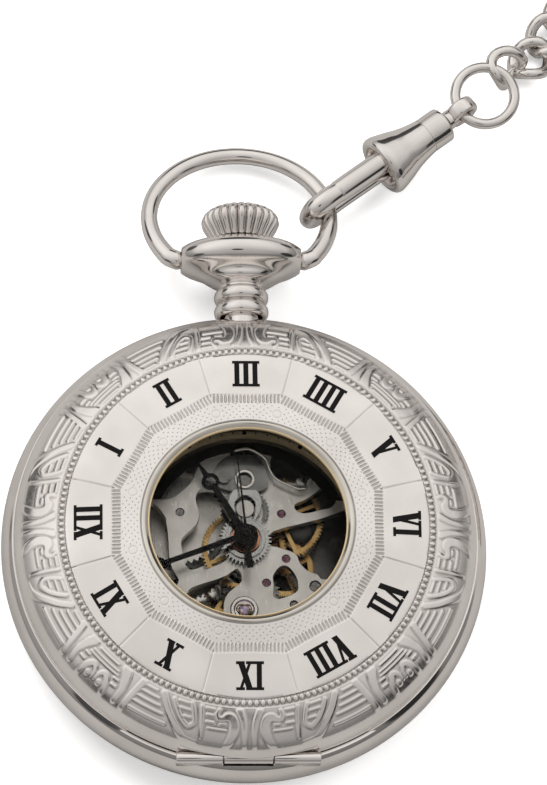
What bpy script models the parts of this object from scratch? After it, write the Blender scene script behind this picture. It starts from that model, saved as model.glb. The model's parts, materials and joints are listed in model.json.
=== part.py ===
"""Half-hunter pocket watch with a hand-wound skeleton movement, a bow, a swivel clasp and a curb chain.

The watch lies on its back on z = 0 with its dial up (+Z) and its crown towards +Y. The origin is the
middle of the flat of the back cover. Lengths in this file are millimetres; MM turns them into metres.
Angles called "clock" run clockwise from +Y, as seen from the dial side.
"""

import math

import bmesh
import bpy
from mathutils import Matrix, Vector

MM = 0.001

# Case
CASE_R = 25.0
BAND_Z = 5.5
LEDGE_Z = 8.1
LEDGE_R = 23.9
CASE_BORE_R = 22.3
BACK_RIM_Z = 2.85
LID_R = 23.75
LID_FOOT_Z = 8.17
LID_TOP_Z = 13.85
WINDOW_R = 10.9
HINGE_Y = -23.4
HINGE_Z = 8.6
KNUCKLE_R = 0.6
PIN_R = 0.22
KNUCKLE_SPLIT_X = 2.55
KNUCKLE_END_X = 7.3
AXIS_Z = 6.0  # height of the stem, the crown and the bow's pivots

# Pendant, crown and bow
PENDANT_SQUASH = 0.86
PENDANT_FLAT_X = 6.25
CROWN_R = 4.15
CROWN_FLUTES = 26
STEM_R = 0.55
BOW_PIVOT_Y = 31.6
BOW_CENTRE = 5.85
BOW_A = 9.55
BOW_B = 8.7
BOW_WIRE_R = 0.8
BOW_DROOP = math.radians(17.0)

# Movement layout: axes in the plane of the plates
CENTRE = (0.0, 0.0)
BARREL = (-6.65, 3.23)
THIRD = (3.79, 3.09)
FOURTH = (4.20, -1.79)
ESCAPE = (2.15, -4.39)
PALLET = (0.931, -5.912)
BALANCE = (-0.17, -7.29)
MINUTE_AXIS = (0.0, 3.25)
SETTING = (0.0, 6.432)
CROWN_WHEEL = (0.0, 7.3)
CLICK = (-11.48, -0.15)
PLATE_R = 13.7
PLATE_Z = (6.2, 7.2)
BRIDGE_Z = (1.6, 2.5)

# Tooth counts
BARREL_TEETH, CENTRE_PINION = 72, 12
CENTRE_TEETH, THIRD_PINION = 72, 10
THIRD_TEETH, FOURTH_PINION = 75, 9
FOURTH_TEETH, ESCAPE_PINION = 80, 8
ESCAPE_TEETH = 15
CANNON_TEETH, MINUTE_TEETH = 12, 36
MINUTE_PINION, HOUR_TEETH = 10, 40
SETTING_TEETH = 11
RATCHET_TEETH, CROWN_WHEEL_TEETH = 44, 30
WINDING_PINION = 10

# Hands, as clock angles
HOUR_CLOCK = 328.3
MINUTE_CLOCK = 249.6
SECOND_CLOCK = 354.4

# Clasp: it hooks the bow's middle line at HOOK_TURN and points along CLASP_TURN, level with the table
HOOK_TURN = math.radians(11.7)
CLASP_TURN = math.radians(37.0)
CLASP_AXIS_Z = 0.35  # height of the bell's axis above the hooked wire
EYE_S = 18.3
RING_AT = (26.6, 51.72, 4.3)
RING_R = 3.2
RING_WIRE_R = 0.5
RING_TILT = math.radians(6.0)  # its far side stands higher

# Chain: route of the stretch that is not coiled, then the coil, whose turns lie side by side
CHAIN_R = 1.7
CHAIN_WIDTH = 5.1
CHAIN_ROUTE = (
    (29.1, 55.5, 1.75),
    (30.8, 56.4, 1.75),
    (32.3, 57.5, 1.75),
    (33.4, 59.0, 1.75),
    (34.4, 60.8, 1.75),
    (36.0, 62.9, 1.75),
    (38.6, 65.1, 1.75),
    (41.5, 66.9, 1.75),
)
COIL_AT = (66.0, 44.0)
COIL_R = 25.0
COIL_TURNS = 2
BAR_LENGTH = 20.0
BAR_R = 1.1


# ---------------------------------------------------------------- scene, materials


def clear_scene():
    for old in list(bpy.data.objects):
        bpy.data.objects.remove(old, do_unlink=True)


def metal(name, colour, roughness=0.25, metallic=1.0):
    """The named Principled material, made once."""
    made = bpy.data.materials.get(name)
    if made:
        return made
    made = bpy.data.materials.new(name)
    made.use_nodes = True
    shader = made.node_tree.nodes["Principled BSDF"]
    shader.inputs["Base Color"].default_value = (*colour, 1.0)
    shader.inputs["Roughness"].default_value = roughness
    shader.inputs["Metallic"].default_value = metallic
    return made


def nickel():
    return metal("case_nickel", (0.72, 0.70, 0.68), 0.14)


def plate_metal():
    return metal("plate_nickel", (0.66, 0.65, 0.63), 0.34)


def steel():
    return metal("steel", (0.60, 0.60, 0.61), 0.22)


def brass():
    return metal("brass", (0.83, 0.62, 0.30), 0.28)


def black():
    return metal("black_lacquer", (0.015, 0.015, 0.017), 0.35, 0.0)


def ruby():
    return metal("ruby", (0.34, 0.06, 0.16), 0.08, 0.0)


def glass():
    return metal("glass", (0.95, 0.96, 0.96), 0.02, 0.0)


# ---------------------------------------------------------------- mesh building


def to_object(name, bm, look, smooth=40.0):
    """Scales the bmesh from millimetres to metres and makes it the object NAME."""
    bmesh.ops.scale(bm, vec=(MM, MM, MM), verts=bm.verts)
    bmesh.ops.recalc_face_normals(bm, faces=bm.faces)
    mesh = bpy.data.meshes.new(name)
    bm.to_mesh(mesh)
    bm.free()
    mesh.shade_smooth()
    mesh.set_sharp_from_angle(angle=math.radians(smooth))
    mesh.materials.append(look)
    made = bpy.data.objects.new(name, mesh)
    bpy.context.scene.collection.objects.link(made)
    return made


def circle(radius, points=16, at=CENTRE, turn=0.0):
    step = 2 * math.pi / points
    return [
        (at[0] + radius * math.cos(turn + step * i), at[1] + radius * math.sin(turn + step * i))
        for i in range(points)
    ]


def arc(radius, start, end, points, at=CENTRE):
    """Points on an arc between two angles in degrees, anticlockwise from +X."""
    angles = [math.radians(start + (end - start) * i / (points - 1)) for i in range(points)]
    return [(at[0] + radius * math.cos(a), at[1] + radius * math.sin(a)) for a in angles]


def clock_xy(radius, clock):
    turn = math.radians(clock)
    return (radius * math.sin(turn), radius * math.cos(turn))


def gear(teeth, radius, at=CENTRE, phase=0.0, tip=0.8, root=1.0):
    """A pointed-tooth outline. phase is the direction, in degrees, of one tooth's tip."""
    module = 2 * radius / teeth
    step = math.pi / teeth
    points = []
    for i in range(2 * teeth):
        reach = radius + tip * module if i % 2 == 0 else radius - root * module
        turn = math.radians(phase) + step * i
        points.append((at[0] + reach * math.cos(turn), at[1] + reach * math.sin(turn)))
    return points


def crossings(count, inner, outer, spoke, at=CENTRE, turn=0.0, points=5):
    """The sector holes between a wheel's spokes."""
    holes = []
    for i in range(count):
        middle = turn + 360.0 * (i + 0.5) / count
        half_in = 180.0 / count - math.degrees(spoke / 2 / inner)
        half_out = 180.0 / count - math.degrees(spoke / 2 / outer)
        holes.append(
            arc(outer, middle - half_out, middle + half_out, points, at)
            + arc(inner, middle + half_in, middle - half_in, points - 1, at)
        )
    return holes


def direction(start, end):
    return math.degrees(math.atan2(end[1] - start[1], end[0] - start[0]))


def layered(layers):
    """A closed solid of flat layers: each is (z bottom, z top, loops), and nested loops are holes."""
    bm = bmesh.new()
    heights = set()
    for bottom, top, loops in layers:
        heights |= {bottom, top}
        for loop in loops:
            lower = [bm.verts.new((x, y, bottom)) for x, y in loop]
            upper = [bm.verts.new((x, y, top)) for x, y in loop]
            for i in range(len(loop)):
                bm.faces.new((lower[i - 1], lower[i], upper[i], upper[i - 1]))
    bmesh.ops.remove_doubles(bm, verts=bm.verts, dist=0.0001)
    for height in sorted(heights):
        rim = [
            edge
            for edge in bm.edges
            if len(edge.link_faces) == 1 and all(abs(v.co.z - height) < 1e-6 for v in edge.verts)
        ]
        bmesh.ops.triangle_fill(bm, use_beauty=True, edges=rim)
    return bm


def stack(name, layers, look, smooth=40.0):
    return to_object(name, layered(layers), look, smooth)


def turned_mesh(profile, steps):
    """A closed (radius, height) profile turned round Z."""
    bm = bmesh.new()
    rings = []
    for radius, height in profile:
        if radius < 1e-6:
            rings.append([bm.verts.new((0.0, 0.0, height))])
            continue
        step = 2 * math.pi / steps
        rings.append(
            [
                bm.verts.new((radius * math.cos(step * i), radius * math.sin(step * i), height))
                for i in range(steps)
            ]
        )
    for i, ring in enumerate(rings):
        last = rings[i - 1]
        if len(ring) == 1 and len(last) == 1:
            continue
        for j in range(steps):
            k = (j + 1) % steps
            if len(last) == 1:
                bm.faces.new((last[0], ring[j], ring[k]))
            elif len(ring) == 1:
                bm.faces.new((last[j], last[k], ring[0]))
            else:
                bm.faces.new((last[j], last[k], ring[k], ring[j]))
    return bm


def turned(name, profile, look, steps=48, at=(0.0, 0.0, 0.0), smooth=40.0):
    bm = turned_mesh(profile, steps)
    bmesh.ops.translate(bm, vec=at, verts=bm.verts)
    return to_object(name, bm, look, smooth)


def turned_along(name, profile, look, frame, steps=32, smooth=40.0):
    """A turned shape whose own Z is laid along the frame's Z, a 4 x 4 matrix in millimetres."""
    bm = turned_mesh(profile, steps)
    bm.transform(frame)
    return to_object(name, bm, look, smooth)


def along_y(at):
    """A frame whose Z runs along +Y from the point."""
    return Matrix.Translation(at) @ Matrix.Rotation(-math.pi / 2, 4, "X")


def along_x(at):
    return Matrix.Translation(at) @ Matrix.Rotation(math.pi / 2, 4, "Y")


def rod(start, end, radius):
    """A plain cylinder's profile from start to end."""
    return [(0.0, start), (radius, start), (radius, end), (0.0, end)]


def box(name, low, high, look=None):
    bm = bmesh.new()
    bmesh.ops.create_cube(bm, size=1.0)
    size = [h - l for l, h in zip(low, high)]
    middle = [(h + l) / 2 for l, h in zip(low, high)]
    bmesh.ops.scale(bm, vec=size, verts=bm.verts)
    bmesh.ops.translate(bm, vec=middle, verts=bm.verts)
    return to_object(name, bm, look or nickel())


def tube(name, points, radii, look, sides=10):
    """A round tube with filled ends, swept along points with a radius at each."""
    bm = bmesh.new()
    points = [Vector(p) for p in points]
    rings = []
    normal = None
    for i, point in enumerate(points):
        ahead = points[min(i + 1, len(points) - 1)]
        behind = points[max(i - 1, 0)]
        along = (ahead - behind).normalized()
        if normal is None:
            normal = along.orthogonal().normalized()
        normal = (normal - along * normal.dot(along)).normalized()
        across = along.cross(normal)
        step = 2 * math.pi / sides
        rings.append(
            [
                bm.verts.new(
                    point + (normal * math.cos(step * k) + across * math.sin(step * k)) * radii[i]
                )
                for k in range(sides)
            ]
        )
    for last, ring in zip(rings, rings[1:]):
        for k in range(sides):
            bm.faces.new((last[k - 1], last[k], ring[k], ring[k - 1]))
    bm.faces.new(rings[0])
    bm.faces.new(rings[-1])
    return to_object(name, bm, look)


def boolean(target, tool, operation):
    """Adds the tool to the target or cuts it away. The tool is left as a hidden guide."""
    tool.hide_render = True
    tool.display_type = "WIRE"
    step = target.modifiers.new(operation.lower() + "_" + tool.name, "BOOLEAN")
    step.operation = operation
    step.object = tool
    step.solver = "EXACT"
    return target


def cut(target, tool):
    return boolean(target, tool, "DIFFERENCE")


def join(target, tool):
    return boolean(target, tool, "UNION")


# ---------------------------------------------------------------- case


def back_cover():
    outer = [(0, 0), (15.0, 0), (19.5, 0.45), (22.5, 1.5), (24.1, BACK_RIM_Z)]
    plug = [(22.2, BACK_RIM_Z), (22.2, 4.0), (21.4, 4.0), (21.4, 2.5)]
    inner = [(19.0, 1.15), (14.5, 0.7), (0, 0.7)]
    turned("back_cover", outer + plug + inner, nickel())


def case_middle():
    band = [(LEDGE_R, LEDGE_Z), (24.5, 7.45), (24.85, 6.6), (CASE_R, BAND_Z), (24.87, 4.4)]
    foot = [(24.55, 3.5), (24.15, 3.0), (CASE_BORE_R, 3.0), (CASE_BORE_R, LEDGE_Z)]
    case = turned("case_middle", band + foot, nickel())
    cut(case, turned_along("cut_stem_bore", rod(20.0, 27.0, 1.95), nickel(), along_y((0, 0, AXIS_Z)), 24))
    reach = KNUCKLE_SPLIT_X
    cut(case, box("cut_lid_knuckle", (-reach, -26.0, 7.6), (reach, -22.5, 9.0)))
    for side in (-1, 1):
        ends = sorted((side * (KNUCKLE_SPLIT_X + 0.05), side * KNUCKLE_END_X))
        tag = "left" if side < 0 else "right"
        knuckle = rod(ends[0], ends[1], KNUCKLE_R)
        join(case, turned_along("knuckle_" + tag, knuckle, nickel(), along_x((0, HINGE_Y, HINGE_Z)), 16))
        web = box("knuckle_web_" + tag, (ends[0], -23.85, 7.4), (ends[1], -22.95, HINGE_Z))
        join(case, web)
    bore = rod(-8.0, 8.0, PIN_R + 0.03)
    cut(case, turned_along("cut_pin_bore", bore, nickel(), along_x((0, HINGE_Y, HINGE_Z)), 12))


def lid():
    dome = [
        (LID_R, LID_FOOT_Z), (23.7, 8.9), (23.4, 9.75), (22.7, 10.75), (21.2, 11.75),
        (18.5, 12.8), (14.0, 13.4), (WINDOW_R, LID_TOP_Z),
    ]
    under = [
        (WINDOW_R, 13.2), (18.5, 12.2), (21.2, 11.15), (22.45, 10.1), (23.05, 8.65), (22.65, 8.5),
        (22.65, LID_FOOT_Z),
    ]
    cover = turned("lid", dome + under, nickel())
    for side in (-1, 1):
        ends = sorted((side * (KNUCKLE_SPLIT_X - 0.05), side * (KNUCKLE_END_X + 0.15)))
        tag = "left" if side < 0 else "right"
        cut(cover, box("cut_knuckle_" + tag, (ends[0], -26.0, 7.9), (ends[1], -22.68, 9.35)))
    reach = KNUCKLE_SPLIT_X - 0.1
    knuckle = rod(-reach, reach, KNUCKLE_R)
    join(cover, turned_along("lid_knuckle", knuckle, nickel(), along_x((0, HINGE_Y, HINGE_Z)), 16))
    bore = rod(-4.0, 4.0, PIN_R + 0.03)
    cut(cover, turned_along("cut_lid_pin_bore", bore, nickel(), along_x((0, HINGE_Y, HINGE_Z)), 12))


def lid_fittings():
    rim = [
        (10.85, 12.9), (10.85, 13.92), (10.5, 14.0), (10.0, 13.6), (10.0, 13.42), (10.55, 13.42),
        (10.55, 12.9),
    ]
    turned("lid_window_rim", rim, metal("gilt_rim", (0.70, 0.62, 0.48), 0.2))
    turned("lid_crystal", [(0, 12.95), (10.5, 12.95), (10.5, 13.37), (0, 13.37)], glass(), 48)
    pin = rod(-7.15, 7.15, PIN_R)
    turned_along("lid_hinge_pin", pin, steel(), along_x((0, HINGE_Y, HINGE_Z)), 12)


def inner_bezel():
    profile = [
        (22.5, 8.15), (22.5, 8.4), (21.2, 9.1), (20.5, 9.15), (20.3, 8.95),
        (20.3, 8.2), (19.8, 8.2), (19.8, 8.0), (22.2, 8.0), (22.2, 8.15),
    ]
    bezel = turned("inner_bezel", profile, nickel())
    cut(bezel, box("cut_catch_notch", (-1.4, 20.9, 7.5), (1.4, 24.0, 9.6)))
    cut(bezel, box("cut_lift_notch", (-1.2, -24.0, 7.5), (1.2, -20.9, 9.6)))


def dome_height(edge, rise, radius, reach=20.25):
    return edge + rise * (1 - (radius / reach) ** 2)


def inner_crystal():
    radii = (0.0, 8.0, 13.8, 17.5, 20.25)
    top = [(r, dome_height(8.75, 3.4, r)) for r in radii]
    under = [(r, dome_height(8.25, 3.4, r)) for r in reversed(radii)]
    turned("inner_crystal", top + under, glass(), 48)


def case_springs():
    """Steel crescents in the channel between the movement ring and the case."""
    band = arc(22.05, 52, 128, 11) + arc(21.4, 128, 52, 11)
    post = [(-1.1, 21.55), (1.1, 21.55), (1.1, 21.95), (-1.1, 21.95)]
    nib = [(-1.1, 21.5), (1.1, 21.5), (1.1, 22.45), (-1.1, 22.45)]
    stack("lid_catch_spring", [(6.95, 7.6, [band]), (7.6, 8.65, [post]), (8.65, 9.0, [nib])], steel())
    band = arc(22.05, 235, 305, 11) + arc(21.4, 305, 235, 11)
    finger = [(-0.9, -21.95), (0.9, -21.95), (0.9, -21.5), (-0.9, -21.5)]
    stack("lid_lift_spring", [(6.95, 7.6, [band]), (7.6, 9.0, [finger])], steel())


def pendant():
    """Neck with two rolled rings and an onion bulb, turned round the stem and flattened a little."""
    neck = [(1.25, 22.6), (1.85, 22.6), (1.85, 25.1), (2.55, 25.1), (2.75, 25.9), (2.75, 26.5)]
    rolls = [(2.4, 27.15), (2.75, 27.6), (2.75, 28.3), (2.35, 28.9), (3.6, 29.6)]
    bulb = [(5.2, 30.5), (6.3, 31.2), (6.6, 32.1), (6.3, 33.0), (5.4, 33.8), (4.5, 34.4)]
    recess = [(3.75, 34.4), (3.75, 33.4), (2.2, 33.4), (2.2, 31.0), (1.25, 31.0)]
    bm = turned_mesh(neck + rolls + bulb + recess, 28)
    for vert in bm.verts:
        share = min(max((vert.co.xy.length - 4.4) / 0.9, 0.0), 1.0)
        vert.co.y *= 1.0 - share * (1.0 - PENDANT_SQUASH)
    bm.transform(along_y((0, 0, AXIS_Z)))
    body = to_object("pendant", bm, nickel())
    for side in (-1, 1):
        tag = "left" if side < 0 else "right"
        ends = sorted((side * PENDANT_FLAT_X, side * 9.0))
        cut(body, box("cut_flat_" + tag, (ends[0], 28.0, -1.0), (ends[1], 36.0, 13.0)))
        ends = sorted((side * 4.6, side * 9.0))
        socket = rod(ends[0], ends[1], 0.75)
        at = (0, BOW_PIVOT_Y, AXIS_Z)
        cut(body, turned_along("cut_bow_socket_" + tag, socket, nickel(), along_x(at), 16))


def bow_point(turn):
    """A point of the bow's middle line: turn is the ellipse's own angle."""
    across = BOW_A * math.cos(turn)
    reach = BOW_CENTRE + BOW_B * math.sin(turn)
    drop = reach * math.sin(BOW_DROOP)
    return (across, BOW_PIVOT_Y + reach * math.cos(BOW_DROOP), AXIS_Z - drop)


def bow():
    foot = -math.asin(BOW_CENTRE / BOW_B)
    count = 27
    turns = [foot + (math.pi - 2 * foot) * i / (count - 1) for i in range(count)]
    ring = [bow_point(t) for t in turns]
    thick = [BOW_WIRE_R + 0.15 * max(0.0, -math.sin(t)) for t in turns]
    right = [(x, BOW_PIVOT_Y, AXIS_Z) for x in (5.0, 6.35, 6.85)]
    left = [(-x, y, z) for x, y, z in reversed(right)]
    points = right + ring[1:-1] + left
    radii = [0.62, 0.62, 0.85] + thick[1:-1] + [0.85, 0.62, 0.62]
    tube("bow", points, radii, nickel(), 10)


def crown():
    """The fluted crown on its stem."""
    heights = ((33.95, 3.3), (34.45, 3.5), (35.6, 3.95), (36.4, CROWN_R), (37.2, 3.95), (37.7, 3.5))
    bm = bmesh.new()
    count = 2 * CROWN_FLUTES
    rings = []
    for height, radius in heights:
        step = 2 * math.pi / count
        ring = []
        for i in range(count):
            reach = radius if i % 2 == 0 else radius * 0.93
            ring.append(bm.verts.new((reach * math.cos(step * i), reach * math.sin(step * i), height)))
        rings.append(ring)
    for last, ring in zip(rings, rings[1:]):
        for i in range(count):
            bm.faces.new((last[i - 1], last[i], ring[i], ring[i - 1]))
    tip = bm.verts.new((0, 0, 38.6))
    shoulder = [bm.verts.new((*(v.co.xy.normalized() * 2.4), 38.2)) for v in rings[-1]]
    for i in range(count):
        bm.faces.new((rings[-1][i - 1], rings[-1][i], shoulder[i], shoulder[i - 1]))
        bm.faces.new((shoulder[i - 1], shoulder[i], tip))
    bm.faces.new(rings[0])
    bm.transform(along_y((0, 0, AXIS_Z)))
    to_object("crown", bm, nickel(), 25.0)
    stem = [(0, 7.45), (0.35, 7.45), (0.35, 7.8), (STEM_R, 7.8), (STEM_R, 31.9)]
    stem += [(0.9, 31.9), (0.9, 33.9), (0, 33.9)]
    turned_along("stem", stem, steel(), along_y((0, 0, AXIS_Z)), 16)
    sleeve = [(0.62, 24.0), (1.15, 24.0), (1.15, 30.4), (0.62, 30.4)]
    turned_along("crown_sleeve", sleeve, brass(), along_y((0, 0, AXIS_Z)), 16)


# ---------------------------------------------------------------- movement: fixed parts


def movement_ring():
    ring = turned("movement_ring", [(21.1, 2.8), (21.1, 7.25), (14.0, 7.25), (14.0, 2.8)], black())
    cut(ring, turned_along("cut_ring_stem", rod(12.0, 23.0, 1.45), black(), along_y((0, 0, AXIS_Z)), 20))


def chapter_ring():
    """The dial: an open ring with a gilt inner lip."""
    profile = [(20.9, 7.35), (20.9, 7.7), (12.4, 7.7), (11.6, 8.45), (11.25, 8.45), (11.25, 7.35)]
    turned("chapter_ring", profile, metal("gilt", (0.86, 0.68, 0.38), 0.2))


def plate_openings():
    """The windows sawn through the main plate."""
    rim = 12.2
    left = arc(rim, 161, 205, 5) + [
        (-7.0, -4.6), (-7.5, -2.9), (-7.8, -1.7), (-7.9, 0.6), (-8.1, 2.1), (-8.2, 2.7), (-9.4, 4.1),
    ]
    upper_left = [
        (-9.4, 4.6), (-7.6, 4.7), (-6.7, 5.3), (-5.5, 6.5), (-4.8, 8.1), (-4.5, 8.6),
    ] + arc(rim, 112, 155, 5)
    middle_left = [
        (-4.5, 5.7), (-5.0, 4.7), (-4.7, 3.3), (-4.75, 2.4), (-5.2, 1.6), (-6.4, 0.4), (-6.5, -0.6),
        (-6.1, -2.5), (-5.3, -3.2), (-4.5, -3.2), (-3.4, -2.7), (-2.0, -2.0), (-1.9, -1.0),
        (-2.2, 0.0), (-2.0, 1.6), (-1.5, 2.6), (-1.6, 4.6), (-2.8, 5.6),
    ]
    lower_left = [(-0.8, -2.9), (-1.9, -3.6), (-3.4, -4.2), (-4.9, -4.7), (-5.7, -5.1), (-6.2, -5.8)]
    lower_left += arc(rim, 222, 250, 4) + [(-2.7, -9.4), (-2.3, -7.5), (-2.2, -6.3), (-1.6, -5.3), (-0.4, -4.2)]
    lower_right = [
        (2.85, -3.65), (3.5, -2.7), (4.3, -2.6), (5.1, -3.5), (5.4, -4.6), (5.1, -5.45), (3.5, -6.1),
        (2.85, -5.8), (2.9, -4.6),
    ]
    right = [(2.9, 1.15), (7.7, 2.5), (11.2, 3.75)]
    right += list(reversed(arc(rim, -14, 14, 4)))
    right += [(8.2, -4.0), (7.4, -3.45), (6.5, -3.15), (5.65, -2.3), (5.1, -1.2), (3.2, -0.5), (2.3, -0.3)]
    slot = [
        (5.2, 4.1), (6.5, 4.75), (8.3, 6.1), (9.1, 5.9), (9.5, 4.7), (8.9, 3.8), (7.9, 3.55),
        (6.3, 3.15), (5.4, 3.4),
    ]
    top_right = [(3.3, 7.0), (4.6, 6.5), (6.2, 6.6), (7.4, 7.6), (7.2, 9.6)]
    top_right += arc(rim, 60, 72, 3) + [(2.7, 8.8)]
    return [left, upper_left, middle_left, lower_left, lower_right, right, slot, top_right]


def main_plate():
    outline = arc(PLATE_R, 96, 444, 60) + [(1.4, 6.95), (-1.4, 6.95)]
    holes = [circle(0.42, 12)]
    holes += [circle(0.44, 12, at) for at in (BARREL, THIRD, FOURTH, ESCAPE)]
    holes += [circle(1.42, 20, BALANCE)]
    holes += [circle(0.14, 8, at) for at in (MINUTE_AXIS, SETTING)]
    stack("main_plate", [(*PLATE_Z, [outline] + holes + plate_openings())], plate_metal())


def jewels():
    for name, at in (("third", THIRD), ("fourth", FOURTH), ("escape", ESCAPE)):
        stack(name + "_jewel", [(6.4, 7.1, [circle(0.41, 12, at)])], ruby())
    ring = [(1.38, 6.3), (1.38, 7.3), (1.05, 7.3), (0.9, 7.0), (0.55, 7.0), (0.55, 6.3)]
    turned("balance_shock_ring", ring, plate_metal(), 24, (*BALANCE, 0))
    cap = [(0, 6.75), (0.5, 6.75), (0.5, 7.1), (0.3, 7.2), (0, 7.22)]
    turned("balance_cap_jewel", cap, ruby(), 16, (*BALANCE, 0))


def bridges():
    low, high = BRIDGE_Z
    outline = arc(13.2, 87, 205, 14) + [(-8.6, -3.9), (-4.6, -1.6), (-2.6, 1.6), (0.9, 5.9)]
    posts = [circle(r, 10, clock_xy(12.3, c)) for r, c in ((0.8, 258.0), (0.45, 326.5))]
    barrel_hole = circle(0.56, 12, BARREL)
    stack("barrel_bridge", [(low, high, [outline, barrel_hole]), (high, 6.15, posts)], plate_metal())
    outline = arc(13.2, -38, 82, 14) + [(1.6, 6.4), (-1.4, 1.4), (-1.5, -1.2), (0.6, -3.0), (1.3, -4.6), (3.1, -6.0)]
    holes = [circle(0.18, 8, at) for at in (CENTRE, THIRD, FOURTH, ESCAPE)]
    posts = [circle(0.8, 10, clock_xy(12.3, c)) for c in (12, 118)]
    stack("train_bridge", [(low, high, [outline] + holes), (high, 6.15, posts)], plate_metal())
    foot = clock_xy(12.3, 214)
    outline = arc(13.2, 229, 256, 6) + [(0.9, -8.9), (1.15, -7.0), (-0.2, -5.9), (-1.6, -6.6)]
    post = circle(0.75, 10, foot)
    stack(
        "balance_cock",
        [(1.35, 2.05, [outline, circle(0.2, 8, BALANCE)]), (2.05, 6.15, [post])],
        plate_metal(),
    )
    ends = ((-1.95, -4.9), (3.6, -7.35))
    middle = [(-1.6, -5.75), (0.9, -6.75), (2.9, -8.0), (4.3, -7.7), (4.2, -6.8), (1.6, -5.3), (-1.2, -4.2), (-2.5, -4.6)]
    posts = [circle(0.3, 8, at) for at in ends]
    stack(
        "pallet_bridge",
        [(3.55, 3.85, [middle, circle(0.14, 8, PALLET)]), (3.85, 6.15, posts)],
        plate_metal(),
    )


def keyless_fixed():
    """The cover plate of the setting works with its long wire spring."""
    cover = [(-2.9, 5.9), (-1.2, 5.5), (-0.95, 7.4), (0.95, 7.4), (1.2, 5.5), (2.2, 5.6)]
    cover += [(2.4, 7.4), (1.7, 8.9), (-1.2, 9.3), (-2.6, 8.4)]
    holes = [circle(0.42, 10, (-2.13, 6.6))]
    stack("keyless_cover", [(7.85, 8.05, [cover] + holes)], plate_metal())
    wire = [(-0.9, 9.55), (0.3, 9.75), (1.4, 9.3), (2.2, 8.6), (2.6, 7.5), (3.2, 6.55), (4.5, 5.85), (5.8, 5.4)]
    points = [(x, y, 8.25) for x, y in wire]
    tube("setting_lever_spring", points, [0.13] * len(points), steel(), 6)
    screw = [(0, 7.25), (0.36, 7.25), (0.36, 8.1), (0.62, 8.1), (0.62, 8.4), (0, 8.45)]
    turned("keyless_screw", screw, steel(), 16, (-2.13, 6.6, 0))


# ---------------------------------------------------------------- movement: turning parts


def barrel():
    pitch = math.dist(BARREL, CENTRE) * BARREL_TEETH / (BARREL_TEETH + CENTRE_PINION)
    phase = direction(BARREL, CENTRE)
    wall, well, hole = circle(5.8, 36, BARREL), circle(5.45, 36, BARREL), circle(0.6, 12, BARREL)
    teeth = gear(BARREL_TEETH, pitch, BARREL, phase)
    layers = [(2.65, 2.85, [wall, hole]), (2.85, 3.85, [wall, well]), (3.85, 4.2, [teeth, well])]
    stack("barrel", layers, plate_metal())
    turns, steps, inner, outer, thick = 5, 14, 1.35, 5.3, 0.12
    side = []
    for i in range(turns * steps + 1):
        share = i / (turns * steps)
        side.append((inner + (outer - inner) * share, 360.0 * i / steps))
    coil = [arc(r, a, a, 2, BARREL)[0] for r, a in side]
    coil += [arc(r - thick, a, a, 2, BARREL)[0] for r, a in reversed(side)]
    stack("mainspring", [(2.95, 3.9, [coil])], steel())
    small, core = circle(0.5, 12, BARREL), circle(1.0, 12, BARREL)
    layers = [(1.7, 2.95, [small]), (2.95, 3.9, [core]), (3.9, 4.3, [small]), (4.3, 7.1, [circle(0.38, 12, BARREL)])]
    stack("barrel_arbor", layers, steel())
    ratio = RATCHET_TEETH / (RATCHET_TEETH + CROWN_WHEEL_TEETH)
    pitch = math.dist(BARREL, CROWN_WHEEL) * ratio
    teeth = gear(RATCHET_TEETH, pitch, BARREL, direction(BARREL, CROWN_WHEEL))
    stack("ratchet_wheel", [(4.35, 4.6, [teeth, circle(0.42, 12, BARREL)])], plate_metal())
    pitch = math.dist(BARREL, CROWN_WHEEL) - pitch
    phase = direction(CROWN_WHEEL, BARREL) + 180.0 / CROWN_WHEEL_TEETH
    teeth = gear(CROWN_WHEEL_TEETH, pitch, CROWN_WHEEL, phase)
    layers = [(2.55, 4.35, [circle(0.4, 10, CROWN_WHEEL)]), (4.35, 4.6, [teeth])]
    stack("crown_wheel", layers, steel())


def click():
    """The pawl of the ratchet wheel: a beak on a round boss."""
    to_wheel = math.radians(direction(CLICK, BARREL))
    ahead = Vector((math.cos(to_wheel), math.sin(to_wheel)))
    side = Vector((-ahead.y, ahead.x))
    at = Vector(CLICK)
    beak = at + ahead * 1.0 + side * 1.2
    body = [at + side * 0.5 - ahead * 0.5, at - side * 0.5 - ahead * 0.5, at - side * 0.5 + ahead * 0.35]
    body += [beak + side * 0.1 + ahead * 0.12, beak + side * 0.2 - ahead * 0.25]
    outline = [tuple(p) for p in body]
    stack("click", [(4.35, 4.6, [outline]), (4.6, 5.4, [circle(0.25, 8, CLICK)])], steel())


def wheel_on_arbor(name, at, arbor_z, pieces, look, arbor_r=0.16):
    """A wheel, its pinion and its arbor as one solid. pieces are (z bottom, z top, loops), upwards."""
    shaft = circle(arbor_r, 8, at)
    layers = []
    z = arbor_z[0]
    for bottom, top, loops in pieces:
        layers.append((z, bottom, [shaft]))
        layers.append((bottom, top, loops))
        z = top
    layers.append((z, arbor_z[1], [shaft]))
    stack(name, layers, look)


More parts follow.
